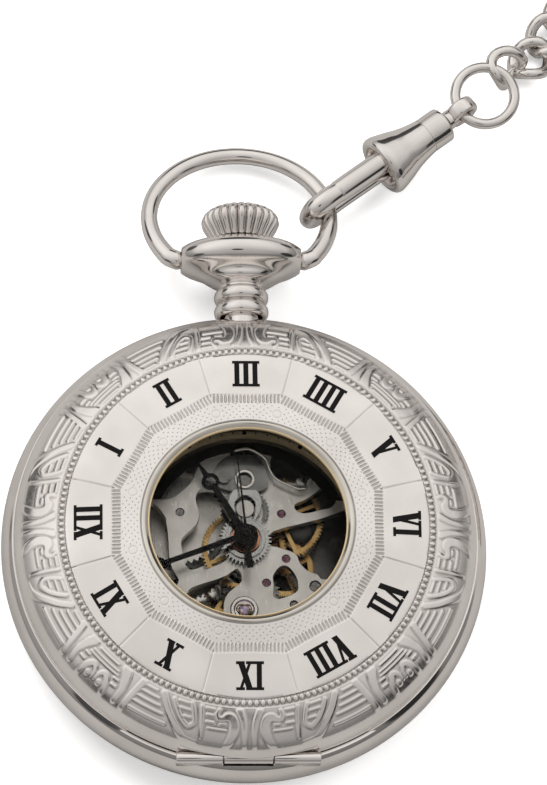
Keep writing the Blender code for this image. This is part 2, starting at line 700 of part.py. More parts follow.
def train():
    to_barrel = direction(CENTRE, BARREL)
    reach = math.dist(CENTRE, BARREL)
    pinion_r = reach * CENTRE_PINION / (BARREL_TEETH + CENTRE_PINION)
    pinion = gear(CENTRE_PINION, pinion_r, CENTRE, to_barrel + 180.0 / CENTRE_PINION)
    reach = math.dist(CENTRE, THIRD)
    pitch = reach * CENTRE_TEETH / (CENTRE_TEETH + THIRD_PINION)
    teeth = gear(CENTRE_TEETH, pitch, CENTRE, direction(CENTRE, THIRD))
    bore, hub, tube_r = circle(0.2, 8), circle(0.6, 12), circle(0.33, 12)
    holes = crossings(4, 1.1, pitch - 0.55, 0.5, CENTRE, 20.0)
    layers = [
        (3.6, 3.75, [hub, bore]), (3.75, 4.35, [pinion, bore]), (4.35, 4.7, [hub, bore]),
        (4.7, 4.9, [teeth, bore] + holes), (4.9, 8.9, [tube_r, bore]),
    ]
    stack("centre_wheel", layers, brass())

    pinion_r = reach - pitch
    pinion = gear(THIRD_PINION, pinion_r, THIRD, direction(THIRD, CENTRE) + 180.0 / THIRD_PINION)
    drive_r = reach * THIRD_TEETH / (THIRD_TEETH + FOURTH_PINION)
    drive = gear(THIRD_TEETH, drive_r, THIRD, direction(THIRD, CENTRE))
    pitch = math.dist(THIRD, FOURTH) * THIRD_TEETH / (THIRD_TEETH + FOURTH_PINION)
    teeth = gear(THIRD_TEETH, pitch, THIRD, direction(THIRD, FOURTH))
    holes = crossings(4, 0.9, pitch - 0.5, 0.45, THIRD, 35.0)
    pieces = [
        (3.1, 3.3, [drive] + holes), (4.55, 5.05, [pinion]), (5.4, 5.6, [teeth] + holes),
    ]
    wheel_on_arbor("third_wheel", THIRD, (2.4, 6.3), pieces, brass())

    pinion = gear(FOURTH_PINION, reach - drive_r, CENTRE, direction(CENTRE, THIRD) + 180.0 / FOURTH_PINION)
    wheel_on_arbor("centre_seconds_arbor", CENTRE, (2.4, 10.1), [(2.95, 3.45, [pinion])], steel(), 0.14)

    reach = math.dist(THIRD, FOURTH)
    pinion = gear(FOURTH_PINION, reach - pitch, FOURTH, direction(FOURTH, THIRD) + 180.0 / FOURTH_PINION)
    reach = math.dist(FOURTH, ESCAPE)
    pitch = reach * FOURTH_TEETH / (FOURTH_TEETH + ESCAPE_PINION)
    teeth = gear(FOURTH_TEETH, pitch, FOURTH, direction(FOURTH, ESCAPE))
    holes = crossings(4, 0.7, pitch - 0.45, 0.4, FOURTH, 10.0)
    pieces = [(3.75, 3.95, [teeth] + holes), (5.25, 5.75, [pinion])]
    wheel_on_arbor("fourth_wheel", FOURTH, (2.4, 6.3), pieces, brass(), 0.1)

    pinion = gear(ESCAPE_PINION, reach - pitch, ESCAPE, direction(ESCAPE, FOURTH) + 180.0 / ESCAPE_PINION, 0.8, 0.8)
    teeth = gear(ESCAPE_TEETH, 1.45, ESCAPE, direction(ESCAPE, PALLET), 0.6, 1.6)
    pieces = [(3.6, 4.1, [pinion]), (4.38, 4.52, [teeth])]
    wheel_on_arbor("escape_wheel", ESCAPE, (2.4, 6.3), pieces, steel(), 0.1)


def pallet_fork():
    """Two arms with pallet stones round the escape wheel, and the fork that reaches for the balance."""
    to_wheel = Vector((ESCAPE[0] - PALLET[0], ESCAPE[1] - PALLET[1])).normalized()
    side = Vector((-to_wheel.y, to_wheel.x))
    at = Vector(PALLET)

    def place(forward, across):
        return tuple(at + to_wheel * forward + side * across)

    outline = [
        place(-0.25, 0.18), place(-1.15, 0.14), place(-1.35, 0.3), place(-1.35, -0.3), place(-1.15, -0.14),
        place(-0.25, -0.18), place(-0.05, -1.6), place(0.75, -1.72), place(0.75, -1.5), place(0.3, -1.3),
        place(0.22, 0.0), place(0.3, 1.3), place(0.75, 1.5), place(0.75, 1.72), place(-0.05, 1.6),
    ]
    staff = circle(0.1, 8, PALLET)
    layers = [(3.4, 4.35, [staff]), (4.35, 4.55, [outline]), (4.55, 6.15, [staff])]
    stack("pallet_fork", layers, steel())


def balance():
    """The balance wheel with its staff and roller, and the hairspring above the cock side."""
    rim = circle(3.2, 40, BALANCE)
    holes = crossings(3, 0.75, 2.8, 0.4, BALANCE, 30.0, 8)
    pieces = [(2.9, 3.15, [rim] + holes), (3.95, 4.2, [circle(0.45, 12, BALANCE)])]
    wheel_on_arbor("balance_wheel", BALANCE, (1.85, 6.6), pieces, brass(), 0.15)
    turns, steps = 4, 14
    side = []
    for i in range(turns * steps + 1):
        side.append((0.6 + 1.3 * i / (turns * steps), 360.0 * i / steps))
    coil = [arc(r, a, a, 2, BALANCE)[0] for r, a in side]
    coil += [arc(r - 0.06, a, a, 2, BALANCE)[0] for r, a in reversed(side)]
    stack("hairspring", [(2.3, 2.5, [coil])], steel())


def motion_works():
    reach = math.dist(CENTRE, MINUTE_AXIS)
    cannon_r = reach * CANNON_TEETH / (CANNON_TEETH + MINUTE_TEETH)
    cannon = gear(CANNON_TEETH, cannon_r, CENTRE, 90.0 + 180.0 / CANNON_TEETH)
    bore = circle(0.36, 12)
    layers = [(7.3, 7.75, [cannon, bore]), (7.75, 9.75, [circle(0.6, 16), bore])]
    stack("cannon_pinion", layers, steel())

    teeth = gear(MINUTE_TEETH, reach - cannon_r, MINUTE_AXIS, 270.0)
    pinion_r = reach * MINUTE_PINION / (MINUTE_PINION + HOUR_TEETH)
    pinion = gear(MINUTE_PINION, pinion_r, MINUTE_AXIS, 270.0 + 180.0 / MINUTE_PINION)
    holes = crossings(4, 1.0, reach - cannon_r - 0.5, 0.5, MINUTE_AXIS, 45.0)
    layers = [
        (6.5, 7.4, [circle(0.1, 8, MINUTE_AXIS)]), (7.4, 7.55, [teeth] + holes), (7.55, 8.0, [pinion]),
    ]
    stack("minute_wheel", layers, steel())

    hour_r = reach - pinion_r
    teeth = gear(HOUR_TEETH, hour_r, CENTRE, 90.0)
    pipe_bore = circle(0.68, 16)
    layers = [(7.8, 7.98, [teeth, pipe_bore]), (7.98, 9.4, [circle(0.95, 16), pipe_bore])]
    stack("hour_wheel", layers, plate_metal())

    setting_r = math.dist(MINUTE_AXIS, SETTING) - (reach - cannon_r)
    teeth = gear(SETTING_TEETH, setting_r, SETTING, 270.0 + 180.0 / SETTING_TEETH)
    layers = [(6.5, 7.3, [circle(0.1, 8, SETTING)]), (7.3, 7.7, [teeth])]
    stack("setting_wheel", layers, steel())


def keyless_pinions():
    """Winding and sliding pinions on the stem."""
    for name, low, high in (("winding_pinion", 9.7, 11.2), ("sliding_pinion", 7.6, 9.5)):
        bm = layered([(low, high, [gear(WINDING_PINION, 1.06, CENTRE, 90.0, 0.45, 0.9), circle(0.6, 12)])])
        bm.transform(along_y((0, 0, AXIS_Z)))
        to_object(name, bm, steel())


def hands():
    """Blackened hands. Each has a round boss, and the hour and minute hands carry a pierced ring."""
    for name, clock, z, ring_at, ring_r, tip, width in (
        ("hour_hand", HOUR_CLOCK, 9.2, 6.83, 0.86, 9.4, 0.6),
        ("minute_hand", MINUTE_CLOCK, 9.56, 9.5, 0.72, 14.4, 0.46),
    ):
        hub = 1.15 if name == "hour_hand" else 1.0
        bore = 0.98 if name == "hour_hand" else 0.63
        along = 90 - clock
        outline = []
        spread = math.degrees(math.asin(width / 2 / hub))
        outline += arc(hub, along + spread, along + 360 - spread, 15)
        ring_gap = math.degrees(math.asin(width / 2 / ring_r))
        centre = arc(ring_at, along, along, 2)[0]
        outline += arc(ring_r, along + 180 + ring_gap, along + 342, 7, centre)
        outline += [arc(tip, along, along, 2)[0]]
        outline += arc(ring_r, along + 18, along + 180 - ring_gap, 7, centre)
        holes = [circle(bore, 16), circle(ring_r - 0.26, 12, centre)]
        stack(name, [(z, z + 0.16, [outline] + holes)], black())
    along = 90 - SECOND_CLOCK
    tip, tail = arc(8.65, along, along, 2)[0], arc(3.7, along + 180, along + 180, 2)[0]
    outline = arc(0.75, along + 14, along + 166, 6)
    side = Vector((math.cos(math.radians(along + 90)), math.sin(math.radians(along + 90))))
    tail_points = [tuple(Vector(tail) + side * 0.3), tuple(Vector(tail) - side * 0.3)]
    outline += tail_points + arc(0.75, along + 194, along + 346, 6)
    outline += [tuple(Vector(tip) - side * 0.06), tuple(Vector(tip) + side * 0.06)]
    stack("second_hand", [(9.9, 10.05, [outline, circle(0.17, 8)])], black())


# ---------------------------------------------------------------- clasp and chain


def clasp_frame():
    """A frame at the hooked wire: X along the clasp, Y across it, Z up."""
    return Matrix.Translation(bow_point(HOOK_TURN)) @ Matrix.Rotation(CLASP_TURN, 4, "Z")


def clasp():
    frame = clasp_frame()
    along = frame @ Matrix.Translation((0, 0, CLASP_AXIS_Z)) @ Matrix.Rotation(math.pi / 2, 4, "Y")
    bell = [
        (2.2, 7.4), (3.1, 7.3), (3.3, 7.8), (3.15, 8.6), (2.6, 10.4), (2.15, 12.2), (1.95, 13.6),
        (1.95, 16.0), (0.98, 16.0), (0.98, 10.6), (2.2, 10.4),
    ]
    body = turned_along("clasp_body", bell, nickel(), along, 20)
    low = -1.85
    path = [(8.2, 0, low), (6.0, 0, low), (3.0, 0, low), (0.6, 0, low), (-0.9, 0, low + 0.25), (-1.9, 0, low + 0.95)]
    path += [(-2.3, 0, 0.1), (-2.0, 0, 1.15), (-1.2, 0, 1.8), (0.0, 0, 2.0), (1.35, 0, 1.95)]
    radii = [0.75, 0.72, 0.7, 0.72, 0.8, 0.92, 1.02, 1.08, 1.1, 1.1, 1.08]
    hook = tube("clasp_hook", [frame @ Vector(p) for p in path], radii, nickel(), 10)
    join(body, hook)
    gate_path = [(1.65, 0, 1.95), (3.4, 0, 1.95), (6.4, 0, 1.85), (6.95, 0, 1.8)]
    tube("clasp_gate", [frame @ Vector(p) for p in gate_path], [0.95, 1.08, 1.02, 0.7], nickel(), 10)


def swivel():
    frame = clasp_frame() @ Matrix.Translation((0, 0, CLASP_AXIS_Z))
    along = frame @ Matrix.Rotation(math.pi / 2, 4, "Y")
    shank = [(0, 9.0), (1.5, 9.0), (1.5, 10.1), (0.88, 10.1), (0.88, 16.6), (1.2, 16.6), (1.2, 17.4), (0, 17.4)]
    eye = turned_along("swivel_eye", shank, nickel(), along, 14)
    loop = layered([(-0.65, 0.65, [circle(1.75, 20, (EYE_S, 0)), circle(1.0, 14, (EYE_S, 0))])])
    loop.transform(frame @ Matrix.Rotation(math.pi / 2, 4, "X"))
    join(eye, to_object("swivel_eye_loop", loop, nickel()))


def jump_ring():
    """The ring threads the swivel eye and leans away from it towards the chain."""
    frame = Matrix.Translation(RING_AT) @ Matrix.Rotation(RING_TILT, 4, "X")
    steps, sides = 20, 8
    bm = bmesh.new()
    rings = []
    for i in range(steps):
        a = 2 * math.pi * i / steps
        ring = []
        for k in range(sides):
            b = 2 * math.pi * k / sides
            reach = RING_R + RING_WIRE_R * math.cos(b)
            ring.append(bm.verts.new((reach * math.cos(a), reach * math.sin(a), RING_WIRE_R * math.sin(b))))
        rings.append(ring)
    for i in range(steps):
        for k in range(sides):
            bm.faces.new((rings[i - 1][k - 1], rings[i][k - 1], rings[i][k], rings[i - 1][k]))
    bm.transform(frame)
    to_object("jump_ring", bm, nickel())


def smooth_route(points, per_span):
    """Points on a Catmull-Rom curve through the route's points."""
    padded = [points[0]] + list(points) + [points[-1]]
    padded = [Vector(p) for p in padded]
    route = []
    for i in range(1, len(padded) - 2):
        a, b, c, d = padded[i - 1 : i + 3]
        for k in range(per_span):
            t = k / per_span
            route.append(
                0.5 * ((2 * b) + (c - a) * t + (2 * a - 5 * b + 4 * c - d) * t**2
                       + (3 * b - a - 3 * c + d) * t**3)
            )
    route.append(padded[-2])
    return route


def chain():
    route = smooth_route(CHAIN_ROUTE, 2)
    curve = bpy.data.curves.new("chain", "CURVE")
    curve.dimensions = "3D"
    curve.bevel_depth = CHAIN_R * MM
    curve.bevel_resolution = 2
    curve.use_fill_caps = True
    line = curve.splines.new("POLY")
    line.points.add(len(route) - 1)
    for point, place in zip(line.points, route):
        point.co = (*(place * MM), 1.0)
    curve.materials.append(nickel())
    made = bpy.data.objects.new("chain", curve)
    bpy.context.scene.collection.objects.link(made)
    half = COIL_TURNS * CHAIN_WIDTH / 2
    ring = [
        (COIL_R + half, 1.0), (COIL_R + half, 2.4), (COIL_R + half - 0.9, 3.3), (COIL_R - half + 0.9, 3.3),
        (COIL_R - half, 2.4), (COIL_R - half, 1.0), (COIL_R - half + 0.9, 0.1), (COIL_R + half - 0.9, 0.1),
    ]
    turned("chain_coil", ring, nickel(), 32, (*COIL_AT, 0))
    bar = [
        (0, -BAR_LENGTH / 2), (0.9, -BAR_LENGTH / 2), (1.5, -9.2), (1.3, -8.6), (BAR_R, -8.2), (BAR_R, -1.2),
        (1.4, -0.9), (1.4, 0.9), (BAR_R, 1.2), (BAR_R, 8.2), (1.3, 8.6), (1.5, 9.2), (0.9, BAR_LENGTH / 2),
        (0, BAR_LENGTH / 2),
    ]
    at = Matrix.Translation((*COIL_AT, 1.6)) @ Matrix.Rotation(math.radians(20), 4, "Z")
    turned_along("chain_bar", bar, nickel(), at @ Matrix.Rotation(math.pi / 2, 4, "Y"), 16)


def build():
    clear_scene()
    back_cover()
    case_middle()
    lid()
    lid_fittings()
    inner_bezel()
    inner_crystal()
    case_springs()
    pendant()
    bow()
    crown()
    movement_ring()
    chapter_ring()
    main_plate()
    jewels()
    bridges()
    keyless_fixed()
    barrel()
    click()
    train()
    pallet_fork()
    balance()
    motion_works()
    keyless_pinions()
    hands()
    clasp()
    swivel()
    jump_ring()
    chain()


build()
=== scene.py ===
"""Half-hunter pocket watch with a skeleton movement, a swivel clasp and a curb chain.

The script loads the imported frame, then adds the detailed pieces, the materials, the studio and the
camera. Lengths in this file are millimetres in the frame's axes; MM turns them into metres. Angles
called "clock" run clockwise from +Y, as seen from the dial side.
"""

import json
import math

import bmesh
import bpy
import numpy as np
from mathutils import Matrix, Vector

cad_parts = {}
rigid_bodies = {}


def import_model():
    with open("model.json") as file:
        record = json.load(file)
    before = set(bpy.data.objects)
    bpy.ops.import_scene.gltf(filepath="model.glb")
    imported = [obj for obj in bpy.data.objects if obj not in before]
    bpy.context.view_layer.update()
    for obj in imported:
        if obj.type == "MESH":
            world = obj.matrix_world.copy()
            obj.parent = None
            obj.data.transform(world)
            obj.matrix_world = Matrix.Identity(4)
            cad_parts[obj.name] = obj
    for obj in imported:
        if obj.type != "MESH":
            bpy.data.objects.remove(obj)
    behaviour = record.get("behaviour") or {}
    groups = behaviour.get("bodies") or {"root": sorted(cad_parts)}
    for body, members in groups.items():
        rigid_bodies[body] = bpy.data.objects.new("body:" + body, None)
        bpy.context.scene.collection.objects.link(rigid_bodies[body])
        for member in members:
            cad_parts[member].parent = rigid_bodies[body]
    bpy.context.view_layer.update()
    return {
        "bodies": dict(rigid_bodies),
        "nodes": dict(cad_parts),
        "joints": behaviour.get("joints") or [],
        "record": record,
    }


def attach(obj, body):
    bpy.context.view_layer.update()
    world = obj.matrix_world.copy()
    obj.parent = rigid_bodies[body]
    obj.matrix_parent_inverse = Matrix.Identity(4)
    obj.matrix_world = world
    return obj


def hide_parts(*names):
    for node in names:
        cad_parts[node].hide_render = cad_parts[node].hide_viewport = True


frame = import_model()

MM = 0.001

# Camera and lamps
CAMERA_AZIMUTH = math.radians(-9.183)
CAMERA_ELEVATION = math.radians(69.043)
CAMERA_ROLL = math.radians(8.906)
CAMERA_DISTANCE = 489.886
CAMERA_TARGET = (3.305, 17.246, 5.0)
CAMERA_LENS = 215.244
LAMP_AIM = (0, 5, 5)

# Case
AXIS_Z = 6.0
HINGE_Y = -23.4
HINGE_Z = 8.6
KNUCKLE_R = 0.6
KNUCKLE_SPLIT_X = 2.55
KNUCKLE_END_X = 7.3
RECESS_X = 13.1

# Lid surface, as radii or distances from the middle
DODECAGON_INNER = 12.88
DODECAGON_OUTER = 13.81
KNURL_PITCH = 0.39
PANEL_R = 18.54
BEAD_LOW, BEAD_HIGH = 18.58, 19.26
BEADS = 180
ORNAMENT_LOW, ORNAMENT_HIGH = 19.45, 23.2
MARK_AT, MARK_R, MARK_CLEAR_R = 12.06, 0.42, 0.62
DOT_ROWS, DOT_START_R, DOT_ROW_GAP, DOT_R = 6, 11.24, 0.31, 0.08
DOTS_ROUND = 108
RELIEF_STEPS = 1440
RELIEF_RISE = 0.085
NUMERAL_R = 16.2
NUMERAL_BASE = -0.1
NUMERALS = ("III", "IIII", "V", "VI", "VII", "VIII", "IX", "X", "XI", "XII", "I", "II")

# Segments of small rounded shapes
CAP_STEPS = 5
LINK_STEPS = 28
LINK_SIDES = 12
FLAT_RING_SIDES = 20

# Pendant, crown and bow
PENDANT_SQUASH = 0.7
PENDANT_FLAT_X = 6.25
CROWN_FLUTES = 24
CROWN_TIP = 37.78
BOW_PIVOT_Y = 31.6
BOW_CENTRE = 5.85
BOW_A = 9.55
BOW_B = 8.7
BOW_DROOP = math.radians(17.0)
BOW_WIRE_R = 0.88

# Movement
CENTRE = (0.0, 0.0)
BARREL = (-6.65, 3.23)
THIRD = (3.79, 3.09)
FOURTH = (4.20, -1.79)
ESCAPE = (2.15, -4.39)
BALANCE = (-0.17, -7.29)
MINUTE_AXIS = (0.0, 3.25)
SETTING = (0.0, 6.432)
PLATE_R = 13.7
PLATE_Z = (6.2, 7.2)
HOUR_CLOCK = 328.3
MINUTE_CLOCK = 249.6
SECOND_CLOCK = 354.4

# Clasp, ring and chain
HOOK_TURN = math.radians(11.7)
CLASP_TURN = math.radians(37.0)
CLASP_AXIS_Z = 0.35
EYE_S = 18.3
RING_AT = (26.6, 51.72, 4.3)
RING_R = 3.2
RING_TILT = math.radians(6.0)
RING_WIRE_R = 0.57
CHAIN_Z = 1.38
CHAIN_ROUTE = (
    (29.1, 55.5), (30.8, 56.4), (32.3, 57.5), (33.4, 59.0), (34.4, 60.8), (36.0, 62.9), (38.6, 65.1),
    (41.5, 66.9),
)
FIRST_LINK_RISE = 1.9
FIRST_LINK_PITCH = math.radians(-38.0)
FIRST_LINK_ROLL = math.radians(48.0)
COIL_AT = (66.0, 44.0)
COIL_RADII = (27.5, 22.45)
LINK_PITCH = 3.5
LINK_HALF = (2.27, 1.9)
LINK_WIRE_R = 0.61
LINK_TWIST = math.radians(42.0)
BAR_TURN = math.radians(20.0)


# ---------------------------------------------------------------- curves and meshes


def spline(points, per_span=6, closed=False):
    """Points on a Catmull-Rom curve through the given points, of any number of coordinates."""
    given = [np.array(p, float) for p in points]
    count = len(given)
    spans = count if closed else count - 1
    made = []
    for i in range(spans):
        if closed:
            a, b, c, d = (given[(i + k) % count] for k in (-1, 0, 1, 2))
        else:
            a, b, c, d = (given[min(max(i + k, 0), count - 1)] for k in (-1, 0, 1, 2))
        for k in range(per_span):
            t = k / per_span
            made.append(
                0.5 * (2 * b + (c - a) * t + (2 * a - 5 * b + 4 * c - d) * t**2
                       + (3 * b - a - 3 * c + d) * t**3)
            )
    if not closed:
        made.append(given[-1])
    return [tuple(float(v) for v in p) for p in made]


def around(at, radius, angles):
    return [(at[0] + radius * math.cos(a), at[1] + radius * math.sin(a)) for a in angles]


def circle(radius, points=48, at=CENTRE):
    return around(at, radius, [2 * math.pi / points * i for i in range(points)])


def arc(radius, start, end, points):
    """Points on an arc about the centre between two angles in degrees, anticlockwise from +X."""
    step = (end - start) / (points - 1)
    return around(CENTRE, radius, [math.radians(start + step * i) for i in range(points)])


def lathe(profile, steps=192, at=(0.0, 0.0, 0.0), place=None):
    """A closed (radius, height) profile turned round Z, then put in its place."""
    bm = bmesh.new()
    rings = []
    for radius, height in profile:
        if radius < 1e-6:
            rings.append([bm.verts.new((0.0, 0.0, height))])
            continue
        rings.append([bm.verts.new((x, y, height)) for x, y in circle(radius, steps)])
    for i, ring in enumerate(rings):
        last = rings[i - 1]
        if len(ring) == 1 and len(last) == 1:
            continue
        for j in range(steps):
            k = (j + 1) % steps
            if len(last) == 1:
                bm.faces.new((last[0], ring[j], ring[k]))
            elif len(ring) == 1:
                bm.faces.new((last[j], last[k], ring[0]))
            else:
                bm.faces.new((last[j], last[k], ring[k], ring[j]))
    bmesh.ops.translate(bm, vec=at, verts=bm.verts)
    if place:
        bm.transform(place)
    return bm


def rod(start, end, radius, edge=0.0):
    """A cylinder's profile from start to end, with its rims rounded off by edge."""
    if edge <= 0:
        return [(0.0, start), (radius, start), (radius, end), (0.0, end)]
    turns = [math.pi / 2 * i / 4 for i in range(5)]
    low = [(radius - edge * (1 - math.sin(t)), start + edge * (1 - math.cos(t))) for t in turns]
    high = [(radius - edge * (1 - math.cos(t)), end - edge * (1 - math.sin(t))) for t in turns]
    return [(0.0, start)] + low + high + [(0.0, end)]


def along_x(at):
    return Matrix.Translation(at) @ Matrix.Rotation(math.pi / 2, 4, "Y")


def along_y(at):
    return Matrix.Translation(at) @ Matrix.Rotation(-math.pi / 2, 4, "X")


def block(low, high):
    bm = bmesh.new()
    bmesh.ops.create_cube(bm, size=1.0)
    bmesh.ops.scale(bm, vec=[h - l for l, h in zip(low, high)], verts=bm.verts)
    bmesh.ops.translate(bm, vec=[(h + l) / 2 for l, h in zip(low, high)], verts=bm.verts)
    return bm


def flat(layers):
    """A closed solid of flat layers: each is (z bottom, z top, loops), and nested loops are holes."""
    bm = bmesh.new()
    heights = set()
    for bottom, top, loops in layers:
        heights |= {bottom, top}
        for loop in loops:
            lower = [bm.verts.new((x, y, bottom)) for x, y in loop]
            upper = [bm.verts.new((x, y, top)) for x, y in loop]
            for i in range(len(loop)):
                bm.faces.new((lower[i - 1], lower[i], upper[i], upper[i - 1]))
    bmesh.ops.remove_doubles(bm, verts=bm.verts, dist=0.0001)
    for height in sorted(heights):
        rim = [
            edge
            for edge in bm.edges
            if len(edge.link_faces) == 1 and all(abs(v.co.z - height) < 1e-6 for v in edge.verts)
        ]
        bmesh.ops.triangle_fill(bm, use_beauty=True, edges=rim)
    return bm


def skin(bm, rings, closed=False):
    """Joins rings of points into a tube's wall."""
    for last, ring in list(zip(rings, rings[1:])) + ([(rings[-1], rings[0])] if closed else []):
        for k in range(len(ring)):
            bm.faces.new((last[k - 1], last[k], ring[k], ring[k - 1]))


def sweep(points, radii, sides=20, closed=False):
    """A round tube along points with a radius at each."""
    bm = bmesh.new()
    points = [Vector(p) for p in points]
    count = len(points)
    rings = []
    normal = None
    for i, point in enumerate(points):
        if closed:
            along = (points[(i + 1) % count] - points[i - 1]).normalized()
        else:
            along = (points[min(i + 1, count - 1)] - points[max(i - 1, 0)]).normalized()
        if normal is None:
            normal = Vector((0, 0, 1)) if abs(along.z) < 0.9 else Vector((1, 0, 0))
        normal = (normal - along * normal.dot(along)).normalized()
        across = along.cross(normal)
        ring = []
        for k in range(sides):
            a = 2 * math.pi * k / sides
            offset = normal * math.cos(a) + across * math.sin(a)
            ring.append(bm.verts.new(point + offset * radii[i]))
        rings.append(ring)
    skin(bm, rings, closed)
    if not closed:
        bm.faces.new(rings[0])
        bm.faces.new(rings[-1])
    return bm


def wire(path, radii, per_span, place=Matrix()):
    """A smooth tube through a few points with a radius at each."""
    line = spline([(*(place @ Vector(p)), r) for p, r in zip(path, radii)], per_span)
    return sweep([p[:3] for p in line], [p[3] for p in line], 28)


def rounded_ends(points, radii):
    """The path and radii with a hemisphere of small steps added at both ends."""
    made_points, made_radii = list(map(Vector, points)), list(radii)
    for end in (0, -1):
        tip = made_points[end]
        inward = (made_points[1] if end == 0 else made_points[-2]) - tip
        radius = made_radii[end]
        inward.normalize()
        caps = []
        for i in range(1, CAP_STEPS + 1):
            turn = math.pi / 2 * i / (CAP_STEPS + 0.35)
            caps.append((tip - inward * radius * math.sin(turn), radius * math.cos(turn)))
        if end == 0:
            made_points = [p for p, _ in reversed(caps)] + made_points
            made_radii = [r for _, r in reversed(caps)] + made_radii
        else:
            made_points += [p for p, _ in caps]
            made_radii += [r for _, r in caps]
    return made_points, made_radii


def to_object(name, bm, look=None, smooth=32.0, bevel=0.0):
    """Scales the bmesh from millimetres to metres and makes it the object NAME."""
    bmesh.ops.recalc_face_normals(bm, faces=bm.faces)
    if bevel > 0:
        sharp = [e for e in bm.edges if e.is_manifold and e.calc_face_angle() > math.radians(40)]
        bmesh.ops.bevel(
            bm, geom=sharp, offset=bevel, segments=2, profile=0.5, affect="EDGES", clamp_overlap=True
        )
    bmesh.ops.scale(bm, vec=(MM, MM, MM), verts=bm.verts)
    mesh = bpy.data.meshes.new(name)
    bm.to_mesh(mesh)
    bm.free()
    mesh.shade_smooth()
    mesh.set_sharp_from_angle(angle=math.radians(smooth))
    if look:
        mesh.materials.append(look)
    made = bpy.data.objects.new(name, mesh)
    bpy.context.scene.collection.objects.link(made)
    return made


def carve(target, tools, smooth=32.0):
    """Runs each (operation, bmesh) on the target and keeps the result as the target's own mesh."""
    look = target.data.materials[0]
    helpers = []
    for i, (operation, bm) in enumerate(tools):
        helper = to_object(f"{target.name}_tool_{i}", bm, look)
        step = target.modifiers.new(f"step_{i}", "BOOLEAN")
        step.operation = operation
        step.object = helper
        step.solver = "MANIFOLD"
        helpers.append(helper)
    bpy.context.view_layer.update()
    result = target.evaluated_get(bpy.context.evaluated_depsgraph_get())
    mesh = bpy.data.meshes.new_from_object(result)
    target.modifiers.clear()
    target.data = mesh
    mesh.materials.clear()
    mesh.materials.append(look)
    mesh.shade_smooth()
    mesh.set_sharp_from_angle(angle=math.radians(smooth))
    for helper in helpers:
        bpy.data.objects.remove(helper, do_unlink=True)
    return target


def piece(made, body, slot, *nodes):
    """Makes the object ride the body, and stand for the CAD nodes; the slot is not used."""
    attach(made, body)
    if nodes:
        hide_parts(*nodes)
    return made


def add(name, bm, look, smooth, body, slot, *nodes, bevel=0.0, cuts=(), join=()):
    """Makes the bmesh a piece in one step, with other solids cut out of it or joined to it."""
    made = to_object(name, bm, LOOKS[look], smooth, bevel)
    tools = [("DIFFERENCE", tool) for tool in cuts] + [("UNION", tool) for tool in join]
    if tools:
        carve(made, tools, smooth)
    return piece(made, body, slot, *nodes)


# ---------------------------------------------------------------- materials


def node(nodes, kind, **values):
    """A new shader node with its inputs set; an underscore in a name stands for a space."""
    made = nodes.new("ShaderNode" + kind)
    for name, value in values.items():
        made.inputs[name.replace("_", " ")].default_value = value
    return made


def principled(name, colour, metallic, roughness):
    made = bpy.data.materials.new(name)
    made.use_nodes = True
    shader = made.node_tree.nodes["Principled BSDF"]
    shader.inputs["Base Color"].default_value = (*colour, 1.0)
    shader.inputs["Metallic"].default_value = metallic
    shader.inputs["Roughness"].default_value = roughness
    return made, made.node_tree.nodes, made.node_tree.links, shader


def noise_field(nodes, links, scale, stretch=(1, 1, 1), detail=3.0, turn=0.0):
    """Noise in the object's own coordinates, in cycles per metre."""
    coords = node(nodes, "TexCoord")
    place = node(nodes, "Mapping", Scale=stretch, Rotation=(0.0, 0.0, turn))
    field = node(nodes, "TexNoise", Scale=scale, Detail=detail)
    links.new(coords.outputs["Object"], place.inputs["Vector"])
    links.new(place.outputs["Vector"], field.inputs["Vector"])
    return field.outputs["Fac"]


def drive_roughness(nodes, links, shader, field, low, high):
    span = node(nodes, "MapRange", From_Min=0.3, From_Max=0.7, To_Min=low, To_Max=high)
    links.new(field, span.inputs["Value"])
    links.new(span.outputs["Result"], shader.inputs["Roughness"])


def drive_colour(nodes, links, shader, field, dark, light):
    ramp = node(nodes, "ValToRGB")
    for element, position, colour in zip(ramp.color_ramp.elements, (0.35, 0.65), (dark, light)):
        element.position = position
        element.color = (*colour, 1.0)
    links.new(field, ramp.inputs["Fac"])
    links.new(ramp.outputs["Color"], shader.inputs["Base Color"])


def drive_bump(nodes, links, shader, field, strength, distance):
    bump = node(nodes, "Bump", Strength=strength, Distance=distance * MM)
    links.new(field, bump.inputs["Height"])
    links.new(bump.outputs["Normal"], shader.inputs["Normal"])


def metal(name, dark, light, rough, scale, stretch=(1, 1, 1), bump=0.0, turn=0.0, wear=180.0):
    """A metal whose tint drifts slowly, with fine grain that drives its roughness and relief."""
    made, nodes, links, shader = principled(name, light, 1.0, rough[0])
    grain = noise_field(nodes, links, scale, stretch, 4.0, turn)
    drift = noise_field(nodes, links, wear, (1, 1, 1), 2.0)
    drive_roughness(nodes, links, shader, grain, *rough)
    drive_colour(nodes, links, shader, drift, dark, light)
    if bump > 0:
        drive_bump(nodes, links, shader, grain, bump, 0.01)
    return made


def mix_shaders(nodes, links, weight, first, second, out):
    """Mixes two shader outputs by a weight into the material's or the world's output."""
    mix = node(nodes, "MixShader")
    links.new(weight, mix.inputs["Fac"])
    links.new(first, mix.inputs[1])
    links.new(second, mix.inputs[2])
    links.new(mix.outputs["Shader"], out.inputs["Surface"])


